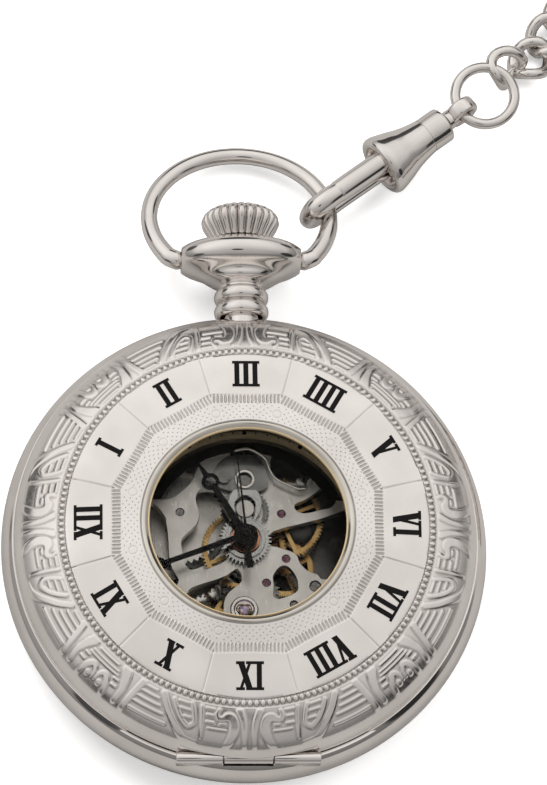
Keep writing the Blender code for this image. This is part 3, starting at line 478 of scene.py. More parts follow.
def glass_look(name, tint, gloss):
    """Clear glass: light passes straight through, and a clear coat mirrors the lamps."""
    made = bpy.data.materials.new(name)
    made.use_nodes = True
    nodes, links = made.node_tree.nodes, made.node_tree.links
    nodes.clear()
    out = node(nodes, "OutputMaterial")
    clear = node(nodes, "BsdfTransparent", Color=(*tint, 1.0))
    mirror = node(nodes, "BsdfGlossy", Roughness=0.02)
    weight = node(nodes, "Fresnel", IOR=gloss)
    mix_shaders(nodes, links, weight.outputs["Fac"], clear.outputs["BSDF"], mirror.outputs["BSDF"], out)
    return made


def paint_cavity_shade(made):
    """Painted shade: darkens the metal where the mesh says that the surface lies low beside its
    surroundings, as cavity shading in the relief's hollows.
    """
    nodes, links = made.node_tree.nodes, made.node_tree.links
    shader = nodes["Principled BSDF"]
    plain = shader.inputs["Base Color"].links[0].from_socket
    cavity_shade = node(nodes, "Attribute")
    cavity_shade.attribute_name = "cavity_shade"
    mix = node(nodes, "Mix")
    mix.data_type = "RGBA"
    # the grey-brown colour of the painted cavity shade
    mix.inputs[7].default_value = (0.36, 0.33, 0.305, 1.0)
    links.new(cavity_shade.outputs["Fac"], mix.inputs[0])
    links.new(plain, mix.inputs[6])
    links.new(mix.outputs[2], shader.inputs["Base Color"])


# Metals: key, name, dark and light tint, roughness span, grain in cycles per metre, other settings
METALS = (
    ("nickel", "polished_nickel", (0.72, 0.682, 0.655), (0.79, 0.752, 0.728), (0.05, 0.12), 420.0, {}),
    ("relief", "struck_nickel", (0.74, 0.702, 0.675), (0.81, 0.775, 0.75), (0.15, 0.25), 2600.0,
     {"bump": 0.04}),
    # painted shade: a dark metal for the dots and the rim's groove, standing for the shade in them
    ("painted_recess_shade", "recess_painted_shade", (0.30, 0.28, 0.265), (0.42, 0.40, 0.38), (0.3, 0.5), 2600.0, {"bump": 0.1}),
    ("plate", "brushed_plate", (0.66, 0.63, 0.60), (0.80, 0.77, 0.74), (0.26, 0.4), 1500.0,
     {"stretch": (4, 0.7, 1), "bump": 0.04, "turn": 0.6, "wear": 320.0}),
    ("steel", "blued_grey_steel", (0.17, 0.165, 0.16), (0.27, 0.262, 0.255), (0.1, 0.24), 1800.0,
     {"bump": 0.05}),
    ("shadow_steel", "shaded_bridge", (0.045, 0.042, 0.04), (0.11, 0.104, 0.10), (0.15, 0.3), 700.0,
     {"bump": 0.05}),
    ("bright_steel", "polished_steel", (0.46, 0.455, 0.45), (0.58, 0.575, 0.57), (0.08, 0.18), 1800.0, {}),
    ("brass", "gilt_brass", (0.42, 0.25, 0.09), (0.66, 0.45, 0.2), (0.16, 0.32), 1500.0, {"wear": 400.0}),
    ("gilt", "gilt_ring", (0.70, 0.55, 0.33), (0.76, 0.61, 0.39), (0.36, 0.5), 1500.0,
     {"stretch": (1, 12, 1), "bump": 0.03, "wear": 90.0}),
    ("copper", "copper_hub", (0.62, 0.3, 0.18), (0.76, 0.42, 0.27), (0.15, 0.3), 1500.0, {"wear": 500.0}),
    ("gilt_rim", "window_rim_nickel", (0.60, 0.56, 0.50), (0.70, 0.66, 0.60), (0.08, 0.16), 900.0,
     {"bump": 0.03}),
    # painted shade: the dark sheet over the top of the movement
    ("top_shade_paint", "painted_shade_sheet", (0.05, 0.046, 0.043), (0.16, 0.15, 0.145), (0.08, 0.3), 260.0, {"bump": 0.03}),
)
GILT_METALLIC = 0.35


def black_enamel():
    made, nodes, links, shader = principled("black_enamel", (0.004, 0.0035, 0.0035), 0.0, 0.3)
    grain = noise_field(nodes, links, 2400.0)
    drive_roughness(nodes, links, shader, grain, 0.28, 0.5)
    drive_bump(nodes, links, shader, grain, 0.02, 0.01)
    shader.inputs["Specular IOR Level"].default_value = 0.12
    return made


def black_lacquer():
    made, nodes, links, shader = principled("black_lacquer", (0.02, 0.019, 0.018), 0.0, 0.2)
    grain = noise_field(nodes, links, 700.0)
    drive_roughness(nodes, links, shader, grain, 0.12, 0.3)
    drive_colour(nodes, links, shader, grain, (0.008, 0.007, 0.006), (0.022, 0.02, 0.018))
    shader.inputs["Specular IOR Level"].default_value = 0.3
    return made


def stone(name, dark, light):
    """A polished synthetic jewel with a slow drift of tint."""
    made, nodes, links, shader = principled(name, (0.2, 0.06, 0.12), 0.0, 0.06)
    drive_colour(nodes, links, shader, noise_field(nodes, links, 2500.0), dark, light)
    shader.inputs["Coat Weight"].default_value = 0.8
    return made


def make_looks():
    looks = {}
    for key, name, dark, light, rough, scale, settings in METALS:
        looks[key] = metal(name, dark, light, rough, scale, **settings)
    # the struck relief gets painted cavity shade in its hollows
    paint_cavity_shade(looks["relief"])
    looks["gilt"].node_tree.nodes["Principled BSDF"].inputs["Metallic"].default_value = GILT_METALLIC
    looks["enamel"] = black_enamel()
    looks["lacquer"] = black_lacquer()
    looks["ruby"] = stone("ruby", (0.06, 0.02, 0.035), (0.20, 0.09, 0.13))
    looks["violet"] = stone("violet_ruby", (0.20, 0.14, 0.22), (0.55, 0.45, 0.6))
    looks["glass"] = glass_look("watch_glass", (0.95, 0.95, 0.945), 1.1)
    return looks


LOOKS = make_looks()


# ---------------------------------------------------------------- camera, light, floor


def camera():
    view = bpy.data.objects.new("camera", bpy.data.cameras.new("camera"))
    bpy.context.scene.collection.objects.link(view)
    bpy.context.scene.camera = view
    view.data.lens = CAMERA_LENS
    view.data.sensor_width = 36.0
    view.data.clip_start = 0.01
    flat_reach = math.cos(CAMERA_ELEVATION)
    back = Vector(
        (
            flat_reach * math.sin(CAMERA_AZIMUTH),
            -flat_reach * math.cos(CAMERA_AZIMUTH),
            math.sin(CAMERA_ELEVATION),
        )
    )
    level = (-back).cross(Vector((0, 0, 1))).normalized()
    upright = level.cross(-back)
    right = level * math.cos(CAMERA_ROLL) + upright * math.sin(CAMERA_ROLL)
    up = upright * math.cos(CAMERA_ROLL) - level * math.sin(CAMERA_ROLL)
    place = (Vector(CAMERA_TARGET) + back * CAMERA_DISTANCE) * MM
    view.matrix_world = Matrix.Translation(place) @ Matrix((right, up, back)).transposed().to_4x4()


def soft_box(name, at, size, watts):
    """A flat lamp of that place and size in metres, facing LAMP_AIM."""
    lamp = bpy.data.lights.new(name, "AREA")
    lamp.shape = "RECTANGLE"
    lamp.size, lamp.size_y = size
    lamp.energy = watts
    made = bpy.data.objects.new(name, lamp)
    bpy.context.scene.collection.objects.link(made)
    made.visible_glossy = False
    made.location = Vector(at)
    towards = Vector(LAMP_AIM) * MM - made.location
    made.rotation_euler = towards.to_track_quat("-Z", "Y").to_euler()


def sky_direction(elevation, azimuth):
    """A unit vector: azimuth 0 is -Y, towards the camera's side, and 90 is +X."""
    e, a = math.radians(elevation), math.radians(azimuth)
    return (math.cos(e) * math.sin(a), -math.cos(e) * math.cos(a), math.sin(e))


# Dark openings in the tent round the object: elevation, azimuth, half width in degrees, darkness
DARK_SPOTS = (
    (60.0, -6.0, 6.5, 0.97), (14.0, 62.0, 12.0, 0.85), (12.0, 128.0, 10.0, 0.85),
    (10.0, -118.0, 12.0, 0.8), (16.0, -50.0, 9.0, 0.75), (9.0, 180.0, 14.0, 0.85),
)
# The tent's brightness: axis, where the change starts, where it ends, level reached there
SKY_SLOPES = (("Y", 0.32, -0.5, 0.56), ("Y", 0.42, 1.0, 1.3), ("X", -0.12, -0.8, 1.3))
# The tent's grey from straight below to straight above, as (height, level)
SKY_STOPS = ((0.0, 0.30), (0.22, 0.42), (0.5, 0.82), (0.8, 1.0), (1.0, 1.02))


def dimmed(nodes, links, shade, factor):
    """The colour output shade, scaled by the output factor."""
    scale = node(nodes, "VectorMath")
    scale.operation = "SCALE"
    links.new(shade, scale.inputs[0])
    links.new(factor, scale.inputs["Scale"])
    return scale.outputs["Vector"]


def world():
    """A white tent: bright overhead, greyer near the table, with a few dark openings."""
    made = bpy.data.worlds.new("tent")
    bpy.context.scene.world = made
    made.use_nodes = True
    nodes, links = made.node_tree.nodes, made.node_tree.links
    nodes.clear()
    out = node(nodes, "OutputWorld")
    coords = node(nodes, "TexCoord")
    split = node(nodes, "SeparateXYZ")
    links.new(coords.outputs["Generated"], split.inputs["Vector"])
    ramp = node(nodes, "ValToRGB")
    ramp.color_ramp.interpolation = "EASE"
    ramp.color_ramp.elements[0].position = SKY_STOPS[0][0]
    ramp.color_ramp.elements[1].position = SKY_STOPS[-1][0]
    for position, _ in SKY_STOPS[1:-1]:
        ramp.color_ramp.elements.new(position)
    for element, (_, level) in zip(ramp.color_ramp.elements, SKY_STOPS):
        element.color = (level, level * 0.985, level * 0.965, 1.0)
    links.new(split.outputs["Z"], ramp.inputs["Fac"])
    shade = ramp.outputs["Color"]
    for axis, start, end, level in SKY_SLOPES:
        slope = node(nodes, "MapRange", From_Min=start, From_Max=end, To_Min=1.0, To_Max=level)
        links.new(split.outputs[axis], slope.inputs["Value"])
        shade = dimmed(nodes, links, shade, slope.outputs["Result"])
    for elevation, azimuth, half_width, darkness in DARK_SPOTS:
        closeness = node(nodes, "VectorMath")
        closeness.operation = "DOT_PRODUCT"
        closeness.inputs[1].default_value = sky_direction(elevation, azimuth)
        links.new(coords.outputs["Generated"], closeness.inputs[0])
        rim, core = (math.cos(math.radians(half_width * k)) for k in (1.15, 0.9))
        edge = node(nodes, "MapRange", From_Min=rim, From_Max=core, To_Min=1.0, To_Max=1.0 - darkness)
        edge.interpolation_type = "SMOOTHSTEP"
        links.new(closeness.outputs["Value"], edge.inputs["Value"])
        shade = dimmed(nodes, links, shade, edge.outputs["Result"])
    tent = node(nodes, "Background", Strength=0.95)
    links.new(shade, tent.inputs["Color"])
    plain = node(nodes, "Background", Color=(0.98, 0.98, 0.98, 1.0))
    seen = node(nodes, "LightPath").outputs["Is Camera Ray"]
    mix_shaders(nodes, links, seen, tent.outputs["Background"], plain.outputs["Background"], out)


def floor():
    bm = bmesh.new()
    bmesh.ops.create_circle(bm, cap_ends=True, radius=1200.0, segments=96)
    made, nodes, links, shader = principled("pale_table", (0.93, 0.93, 0.93), 0.0, 0.7)
    grain = noise_field(nodes, links, 60.0)
    drive_colour(nodes, links, shader, grain, (0.925, 0.925, 0.925), (0.935, 0.935, 0.935))
    shader.inputs["Specular IOR Level"].default_value = 0.1
    shader.inputs["Emission Color"].default_value = (1.0, 1.0, 1.0, 1.0)
    shader.inputs["Emission Strength"].default_value = 0.35
    dim = node(nodes, "BsdfDiffuse", Color=(0.42, 0.41, 0.40, 1.0))
    mirrored = node(nodes, "LightPath").outputs["Is Glossy Ray"]
    out = nodes["Material Output"]
    mix_shaders(nodes, links, mirrored, shader.outputs["BSDF"], dim.outputs["BSDF"], out)
    table = to_object("table", bm, made)


def studio():
    scene = bpy.context.scene
    scene.view_settings.view_transform = "Standard"
    scene.view_settings.look = "None"
    world()
    floor()
    soft_box("key", (-0.35, 0.45, 0.75), (0.5, 0.5), 5.0)
    soft_box("fill", (0.55, 0.1, 0.6), (0.4, 0.5), 3.0)


# ---------------------------------------------------------------- chain


def coil_point(turned):
    """The coil's middle line, degrees clockwise from where the chain joins it."""
    outer, inner = COIL_RADII
    share = min(max((turned - 300.0) / 60.0, 0.0), 1.0)
    radius = outer + (inner - outer) * share * share * (3 - 2 * share)
    angle = math.radians(115.0 - turned)
    return (COIL_AT[0] + radius * math.cos(angle), COIL_AT[1] + radius * math.sin(angle))


def chain_path():
    """Free stretch, two turns of the coil, and the tail that curls in to the bar."""
    route = list(CHAIN_ROUTE) + [(48.0, 69.0)]
    coil = [coil_point(10.0 * i) for i in range(62)]
    last, before = np.array(coil[-1]), np.array(coil[-2])
    along = (last - before) / np.linalg.norm(last - before)
    inward = np.array(COIL_AT) - last
    reach = np.linalg.norm(inward) / 2
    middle = last + inward / 2
    start = math.atan2(last[1] - middle[1], last[0] - middle[0])
    tail = []
    for i in range(1, 9):
        turn = start - math.pi * 0.93 * i / 8
        tail.append((middle[0] + reach * math.cos(turn), middle[1] + reach * math.sin(turn)))
    assert along @ (np.array(tail[0]) - last) > 0
    points = spline(route + coil + tail, 4)
    return [(x, y, CHAIN_Z) for x, y in points]


def even_steps(points, step):
    """Places and directions every step along the path."""
    points = [Vector(p) for p in points]
    made = []
    left = 0.0
    for a, b in zip(points, points[1:]):
        span = (b - a).length
        along = (b - a) / span
        while left <= span:
            made.append((a + along * left, along))
            left += step
        left -= span
    return made


def link(bm, at, along, roll=0.0):
    """One oval curb link of round wire, its ends twisted opposite ways about the path."""
    level = Vector((-along.y, along.x, 0.0)).normalized()
    upright = along.cross(level)
    middles, flats = [], []
    for i in range(LINK_STEPS):
        a = 2 * math.pi * i / LINK_STEPS
        tilt = roll + LINK_TWIST * math.cos(a)
        flat_way = level * math.cos(tilt) + upright * math.sin(tilt)
        middles.append(at + along * LINK_HALF[0] * math.cos(a) + flat_way * LINK_HALF[1] * math.sin(a))
        flats.append(along.cross(flat_way))
    rings = []
    for i, middle in enumerate(middles):
        ahead = (middles[(i + 1) % LINK_STEPS] - middles[i - 1]).normalized()
        up = (flats[i] - ahead * flats[i].dot(ahead)).normalized()
        outward = ahead.cross(up)
        ring = []
        for k in range(LINK_SIDES):
            b = 2 * math.pi * k / LINK_SIDES
            offset = outward * math.cos(b) + up * math.sin(b)
            ring.append(bm.verts.new(middle + offset * LINK_WIRE_R))
        rings.append(ring)
    for i in range(LINK_STEPS):
        for k in range(LINK_SIDES):
            bm.faces.new((rings[i - 1][k - 1], rings[i][k - 1], rings[i][k], rings[i - 1][k]))


def chain():
    path = chain_path()
    bm = bmesh.new()
    for i, (at, along) in enumerate(even_steps(path, LINK_PITCH)):
        if i > 0:
            link(bm, at, along)
            continue
        across = Vector((-along.y, along.x, 0.0))
        pitched = Matrix.Rotation(-FIRST_LINK_PITCH, 3, across) @ along
        link(bm, at + Vector((0, 0, FIRST_LINK_RISE)), pitched, FIRST_LINK_ROLL)
    made = add("chain_links", bm, "nickel", 60.0, "case", "case_nickel", "chain", "chain_coil")
    bar = t_bar()


def t_bar():
    """The turned bar on the chain's end, with a collar where the last link holds it."""
    half = [(0.0, 10.0), (0.7, 9.95), (1.2, 9.6), (1.45, 9.1), (1.3, 8.6), (1.05, 8.2), (1.05, 1.3)]
    half += [(1.3, 0.95), (1.4, 0.5)]
    profile = [(r, -s) for r, s in half] + [(r, s) for r, s in reversed(half)]
    bm = lathe(spline(profile, 3), 40)
    at = Matrix.Translation((*COIL_AT, 1.6)) @ Matrix.Rotation(BAR_TURN, 4, "Z")
    bm.transform(at @ Matrix.Rotation(math.pi / 2, 4, "Y"))
    return add("t_bar", bm, "nickel", 32.0, "case", "case_nickel", "chain_bar")


# ---------------------------------------------------------------- case


def case_band():
    wall = spline(
        [(23.9, 8.1), (24.5, 7.45), (24.85, 6.6), (25.0, 5.5), (24.87, 4.4), (24.55, 3.5), (24.15, 3.0)], 5
    )
    bore = lathe(rod(20.0, 27.0, 1.95), 48, place=along_y((0, 0, AXIS_Z)))
    shelf = block((-RECESS_X, -24.25, 7.9), (RECESS_X, -20.3, 9.5))
    well = block((-KNUCKLE_SPLIT_X, -24.05, 7.0), (KNUCKLE_SPLIT_X, -22.5, 9.5))
    band = lathe(wall + [(22.3, 3.0), (22.3, 8.1)], 256)
    add("case_band", band, "nickel", 32.0, "case", "case_nickel", "case_middle", cuts=(bore, shelf, well))
    for side, tag in ((-1, "left"), (1, "right")):
        start, end = sorted((side * (KNUCKLE_SPLIT_X + 0.05), side * KNUCKLE_END_X))
        tube = lathe(rod(start, end, KNUCKLE_R, 0.08), 40, place=along_x((0, HINGE_Y, HINGE_Z)))
        foot = block((start + 0.01, -23.9, 7.3), (end - 0.01, -22.9, HINGE_Z))
        add("case_knuckle_" + tag, tube, "nickel", 32.0, "case", "case_nickel", join=(foot,))


def case_back():
    outer = [(0.0, 0.0), (15.0, 0.0)] + spline([(15.2, 0.01), (19.5, 0.45), (22.5, 1.5), (24.1, 2.85)], 6)
    inner = [(23.9, 2.98), (22.2, 2.98), (22.2, 4.0), (21.4, 4.0), (21.4, 2.5), (19.0, 1.15)]
    inner += [(14.5, 0.7), (0.0, 0.7)]
    add("case_back", lathe(outer + inner, 192), "nickel", 32.0, "case", "case_nickel", "back_cover")


# ---------------------------------------------------------------- lid

LID_TOP = (
    (10.9, 13.85), (14.0, 13.4), (18.5, 12.8), (21.2, 11.75), (22.7, 10.75), (23.4, 9.75), (23.7, 8.9),
    (23.75, 8.17),
)
LID_UNDER = (
    (22.65, 8.17), (22.65, 8.5), (23.05, 8.65), (22.45, 10.1), (21.2, 11.15), (18.5, 12.2), (10.9, 13.2),
)
# The grid's row spacing from each radius outwards; the last stops it
ROW_GAPS = (
    (10.9, 0.09), (11.05, 0.062), (12.9, 0.08), (14.45, 0.2), (18.4, 0.07), (19.4, 0.085), (23.15, 0.11),
    (23.76, 9.0),
)

# One eighth of the ornament, as clock angles from its axis, radii and widths. Level strokes run round the
# lid: start, end, radius, width. Curved strokes are (clock, radius, width) at each point.
LEVEL_STROKES = (
    (6.9, 8.0, 21.05, 0.33), (6.4, 11.3, 21.6, 0.22), (10.1, 12.1, 21.05, 0.3),
    (10.4, 12.2, 20.4, 0.3), (10.3, 12.8, 19.8, 0.3), (16.3, 18.3, 21.05, 0.3),
    (17.0, 20.0, 20.4, 0.3), (17.8, 20.8, 19.8, 0.3), (22.5, 33.0, 22.3, 0.3),
    (24.0, 32.7, 21.6, 0.3), (25.5, 32.4, 21.0, 0.3), (26.5, 32.0, 20.4, 0.3),
    (28.0, 31.5, 19.8, 0.3), (42.9, 43.1, 22.25, 0.62), (38.6, 40.0, 21.6, 0.3),
    (38.9, 40.3, 21.0, 0.3), (39.8, 45.0, 20.65, 0.24), (40.2, 45.0, 20.3, 0.22),
    (41.5, 45.0, 19.8, 0.25),
)
CURVED_STROKES = (
    ((1.3, 23.0, 0.5), (1.3, 22.0, 0.55), (1.4, 21.4, 0.6), (1.75, 20.7, 0.65), (2.4, 20.1, 0.7),
     (2.9, 19.7, 0.75)),
    ((6.2, 23.0, 0.6), (4.9, 22.3, 0.85), (4.2, 21.6, 1.0), (4.2, 21.0, 1.0), (4.9, 20.5, 0.95),
     (6.2, 20.35, 0.85), (7.4, 20.55, 0.6), (8.8, 20.6, 0.55), (9.4, 20.2, 0.5), (9.0, 19.8, 0.4)),
    ((12.7, 22.5, 0.3), (13.1, 21.3, 0.42), (13.5, 20.5, 0.42), (14.0, 19.75, 0.42)),
    ((17.0, 19.75, 0.45), (16.4, 20.1, 0.45), (15.6, 20.8, 0.48), (15.2, 21.4, 0.5),
     (16.0, 21.75, 0.5), (17.0, 21.8, 0.5), (19.0, 21.3, 0.5), (20.8, 20.6, 0.5), (22.3, 19.85, 0.45)),
    ((14.0, 23.1, 0.5), (16.5, 22.95, 0.6), (18.6, 22.5, 0.65), (21.2, 21.6, 0.65), (23.4, 20.8, 0.65),
     (25.7, 19.75, 0.65)),
    ((34.5, 22.8, 0.6), (33.9, 21.6, 0.65), (33.2, 20.5, 0.7), (32.5, 19.7, 0.75)),
    ((37.1, 22.6, 0.6), (36.7, 21.6, 0.7), (37.0, 20.95, 0.85), (37.5, 20.3, 1.0), (38.4, 19.7, 1.1)),
    ((40.9, 23.0, 0.5), (41.1, 22.3, 0.62), (41.6, 21.7, 0.66), (42.5, 21.3, 0.62), (43.5, 21.3, 0.55),
     (44.3, 21.7, 0.45), (44.5, 22.2, 0.36)),
)


def smoothstep(low, high, value):
    share = np.clip((value - low) / (high - low), 0.0, 1.0)
    return share * share * (3 - 2 * share)


def ornament(clocks, radii):
    """Relief of the motif, 0 to 1, on a grid of clock angles (0 to 45) by radii."""
    turn = np.radians(clocks)[None, :]
    x = radii[:, None] * np.sin(turn)
    y = radii[:, None] * np.cos(turn)
    nearest = np.full(x.shape, 9.0)
    level = [((start, radius, width), (end, radius, width)) for start, end, radius, width in LEVEL_STROKES]
    for line in [spline(ends, 8) for ends in level] + [spline(stroke, 5) for stroke in CURVED_STROKES]:
        for (c0, r0, w0), (c1, r1, w1) in zip(line, line[1:]):
            ax, ay = r0 * math.sin(math.radians(c0)), r0 * math.cos(math.radians(c0))
            bx, by = r1 * math.sin(math.radians(c1)), r1 * math.cos(math.radians(c1))
            dx, dy = bx - ax, by - ay
            share = np.clip(((x - ax) * dx + (y - ay) * dy) / (dx * dx + dy * dy + 1e-12), 0.0, 1.0)
            gap = np.hypot(x - ax - share * dx, y - ay - share * dy) - (w0 + (w1 - w0) * share) / 2
            nearest = np.minimum(nearest, gap)
    raised = 1.0 - smoothstep(-0.13, 0.10, nearest)
    fade = smoothstep(ORNAMENT_LOW - 0.02, ORNAMENT_LOW + 0.1, radii)
    fade = fade * (1 - smoothstep(22.7, ORNAMENT_HIGH, radii))
    return raised * fade[:, None]


def fold_side(clock):
    """The clock angle measured from the middle of its dodecagon side, in degrees."""
    return (clock + 15.0) % 30.0 - 15.0


def base_height(radius):
    line = spline(LID_TOP, 10)
    return np.interp(radius, [p[0] for p in line], [p[1] for p in line])


def facet_rise(radius, clock):
    """How far a flat numeral panel stands above the round dome."""
    side = np.radians(fold_side(clock))
    flat_height = base_height(np.maximum(radius * np.cos(side), DODECAGON_OUTER))
    return 0.8 * (flat_height - base_height(radius))


def lid_relief(clocks, radii):
    """Height above the plain dome, in millimetres, on a grid of radii by clock angles."""
    radius = radii[:, None] * np.ones_like(clocks)[None, :]
    clock = np.ones_like(radii)[:, None] * clocks[None, :]
    side = np.radians(fold_side(clock))
    out = radius * np.cos(side)
    along = radius * np.sin(side)
    edge = 0.05
    in_knurl = smoothstep(DODECAGON_INNER, DODECAGON_INNER + edge, out)
    in_knurl = in_knurl * (1 - smoothstep(DODECAGON_OUTER - 2 * edge, DODECAGON_OUTER, out))
    ribs = 0.5 + 0.5 * np.cos(2 * np.pi * along / KNURL_PITCH)
    height = in_knurl * (-0.07 + 0.10 * smoothstep(0.15, 0.75, ribs))
    in_panel = smoothstep(DODECAGON_OUTER, DODECAGON_OUTER + edge, out)
    in_panel = in_panel * (1 - smoothstep(PANEL_R - 0.06, PANEL_R, radius))
    height = height + in_panel * (0.03 + facet_rise(radius, clock))
    seam = radius * np.abs(np.radians((clock % 30.0) - 15.0))
    height = height - in_panel * 0.06 * (1 - smoothstep(0.03, 0.11, seam))
    corner = np.radians(15.0) - np.abs(side)
    from_mark = np.hypot(radius * np.cos(corner) - MARK_AT, radius * np.sin(corner))
    height = height - 0.025 * (1 - smoothstep(0.03, 0.1, np.abs(from_mark - MARK_R)))
    in_beads = smoothstep(PANEL_R, PANEL_R + 0.04, radius) * (1 - smoothstep(19.3, 19.42, radius))
    bead_step = 360.0 / BEADS
    across = radius * np.abs(np.radians((clock + bead_step / 2) % bead_step - bead_step / 2))
    middle = (BEAD_LOW + BEAD_HIGH) / 2
    reach = (BEAD_HIGH - BEAD_LOW) / 2
    bead = np.clip(1 - (across / 0.27) ** 2.6 - (np.abs(radius - middle) / reach) ** 3.0, 0.0, 1.0)
    height = height + in_beads * (-0.10 + 0.19 * np.sqrt(bead))
    count = len(clocks) // 8
    eighth = ornament(np.linspace(0.0, 45.0, count + 1), radii)
    index = np.arange(len(clocks)) % (2 * count)
    index = np.where(index > count, 2 * count - index, index)
    return height + RELIEF_RISE * (eighth[:, index] - 0.35 * in_ornament(radii)[:, None])


def in_ornament(radii):
    inside = smoothstep(ORNAMENT_LOW - 0.1, ORNAMENT_LOW, radii)
    return inside * (1 - smoothstep(22.8, ORNAMENT_HIGH, radii))


def lid_rows():
    """(radius, height, normal r, normal z) down the dome, closer together where the detail is fine."""
    line = np.array(spline(LID_TOP, 24))
    run = np.concatenate([[0.0], np.cumsum(np.hypot(*np.diff(line, axis=0).T))])
    places = [0.0]
    while True:
        radius = np.interp(places[-1], run, line[:, 0])
        step = [gap for start, gap in ROW_GAPS if radius >= start - 1e-6][-1]
        if places[-1] + step > run[-1] - 0.02 or step > 1:
            break
        places.append(places[-1] + step)
    places = np.array(places + list(np.linspace(places[-1], run[-1], 14)[1:]))
    radius = np.interp(places, run, line[:, 0])
    height = np.interp(places, run, line[:, 1])
    dr = np.gradient(radius, places)
    dz = np.gradient(height, places)
    size = np.hypot(dr, dz)
    return radius, height, -dz / size, dr / size


def hollowness(relief):
    """0 to 1: how far each place of the relief lies below the mean of its surroundings."""
    spread = relief.copy()
    for shift in (1, 2, 3):
        spread += np.roll(relief, shift, axis=1) + np.roll(relief, -shift, axis=1)
    spread /= 7.0
    padded = np.pad(spread, ((3, 3), (0, 0)), mode="edge")
    mean = sum(padded[k : k + len(relief)] for k in range(7)) / 7.0
    return smoothstep(0.002, 0.03, mean - relief) * 0.5


def lid():
    radius, height, out_r, out_z = lid_rows()
    clocks = np.arange(RELIEF_STEPS) * 360.0 / RELIEF_STEPS
    relief = lid_relief(clocks, radius)
    relief[0] = 0.0
    relief[radius > ORNAMENT_HIGH + 0.1] = 0.0
    r = radius[:, None] + relief * out_r[:, None]
    z = height[:, None] + relief * out_z[:, None]
    under = np.array(LID_UNDER)
    r = np.vstack([r, np.repeat(under[:, :1], RELIEF_STEPS, axis=1)])
    z = np.vstack([z, np.repeat(under[:, 1:], RELIEF_STEPS, axis=1)])
    turn = np.radians(clocks)[None, :]
    points = np.stack([r * np.sin(turn), r * np.cos(turn), z], axis=-1).reshape(-1, 3) * MM
    rows = len(r)
    row = np.arange(rows)[:, None]
    column = np.arange(RELIEF_STEPS)[None, :]
    after = (column + 1) % RELIEF_STEPS
    below = (row + 1) % rows
    corners = ((row, column), (row, after), (below, after), (below, column))
    quads = np.stack([line * RELIEF_STEPS + place for line, place in corners], axis=-1).reshape(-1, 4)
    mesh = bpy.data.meshes.new("lid_dome")
    mesh.vertices.add(len(points))
    mesh.vertices.foreach_set("co", points.ravel())
    mesh.loops.add(quads.size)
    mesh.loops.foreach_set("vertex_index", quads.ravel().astype(np.int32))
    mesh.polygons.add(len(quads))
    mesh.polygons.foreach_set("loop_start", np.arange(0, quads.size, 4, dtype=np.int32))
    mesh.update(calc_edges=True)
    mesh.validate()
    mesh.shade_smooth()
    # painted cavity shade: how far each vertex of the relief is painted darker
    cavity_shade = mesh.attributes.new("cavity_shade", "FLOAT", "POINT")
    shade = np.zeros((rows, RELIEF_STEPS))
    shade[: len(relief)] = hollowness(relief)
    cavity_shade.data.foreach_set("value", shade.ravel())
    mesh.materials.append(LOOKS["relief"])
    dome = bpy.data.objects.new("lid_dome", mesh)
    bpy.context.scene.collection.objects.link(dome)
    cuts = []
    for side in (-1, 1):
        ends = sorted((side * (KNUCKLE_SPLIT_X - 0.05), side * (KNUCKLE_END_X + 0.15)))
        cuts.append(("DIFFERENCE", block((ends[0], -26.0, 7.9), (ends[1], -22.68, 9.35))))
    carve(dome, cuts, 50.0)
    piece(dome, "front_lid", "case_nickel", "lid")
    reach = KNUCKLE_SPLIT_X - 0.1
    knuckle = lathe(rod(-reach, reach, KNUCKLE_R, 0.08), 40, place=along_x((0, HINGE_Y, HINGE_Z)))
    foot = block((-reach + 0.01, -23.55, 8.3), (reach - 0.01, -22.7, 9.0))
    add("lid_knuckle", knuckle, "nickel", 32.0, "front_lid", "case_nickel", join=(foot,))


def lid_dots():
    """The punched dots between the window and the ribbed border, as small dark lenses in the surface:
    their darkness is painted shade of the pits.
    """
    bm = bmesh.new()
    for row in range(DOT_ROWS):
        radius = DOT_START_R + DOT_ROW_GAP * row
        for i in range(DOTS_ROUND):
            clock = 360.0 * (i + 0.5 * (row % 2)) / DOTS_ROUND
            side = math.radians(fold_side(clock))
            corner = math.radians(15.0) - abs(side)
            from_mark = math.hypot(radius * math.cos(corner) - MARK_AT, radius * math.sin(corner))
            if from_mark < MARK_CLEAR_R or radius * math.cos(side) > DODECAGON_INNER - 0.12:
                continue
            turn = math.radians(clock)
            x, y = radius * math.sin(turn), radius * math.cos(turn)
            top = float(base_height(radius))
            ring = [bm.verts.new((x + u, y + v, top + 0.004)) for u, v in circle(DOT_R, 8)]
            low = [bm.verts.new((x + u, y + v, top - 0.06)) for u, v in circle(DOT_R, 8)]
            for k in range(8):
                bm.faces.new((ring[k - 1], ring[k], low[k], low[k - 1]))
            bm.faces.new(ring)
            bm.faces.new(low)
    add("lid_dots", bm, "painted_recess_shade", 32.0, "front_lid", "case_nickel")


def window_rim():
    profile = [(10.85, 12.9), (10.85, 13.9)]
    profile += spline([(10.82, 13.93), (10.68, 13.99), (10.5, 13.97), (10.25, 13.8), (10.02, 13.62)], 5)
    profile += [(10.0, 13.42), (10.55, 13.42), (10.55, 12.9)]
    add("window_rim", lathe(profile, 192), "gilt_rim", 45.0, "front_lid", "gilt_rim", "lid_window_rim")
    line = lathe([(10.0, 13.6), (10.0, 13.45), (10.16, 13.7), (10.13, 13.78), (10.05, 13.74)], 192)
    add("window_rim_line", line, "gilt", 45.0, "front_lid", "gilt_rim")
    # a dark ring: painted shade of a groove round the rim
    groove = lathe([(10.84, 13.7), (10.99, 13.7), (10.99, 13.872), (10.84, 13.9)], 192)
    add("window_rim_groove", groove, "painted_recess_shade", 45.0, "front_lid", "case_nickel")


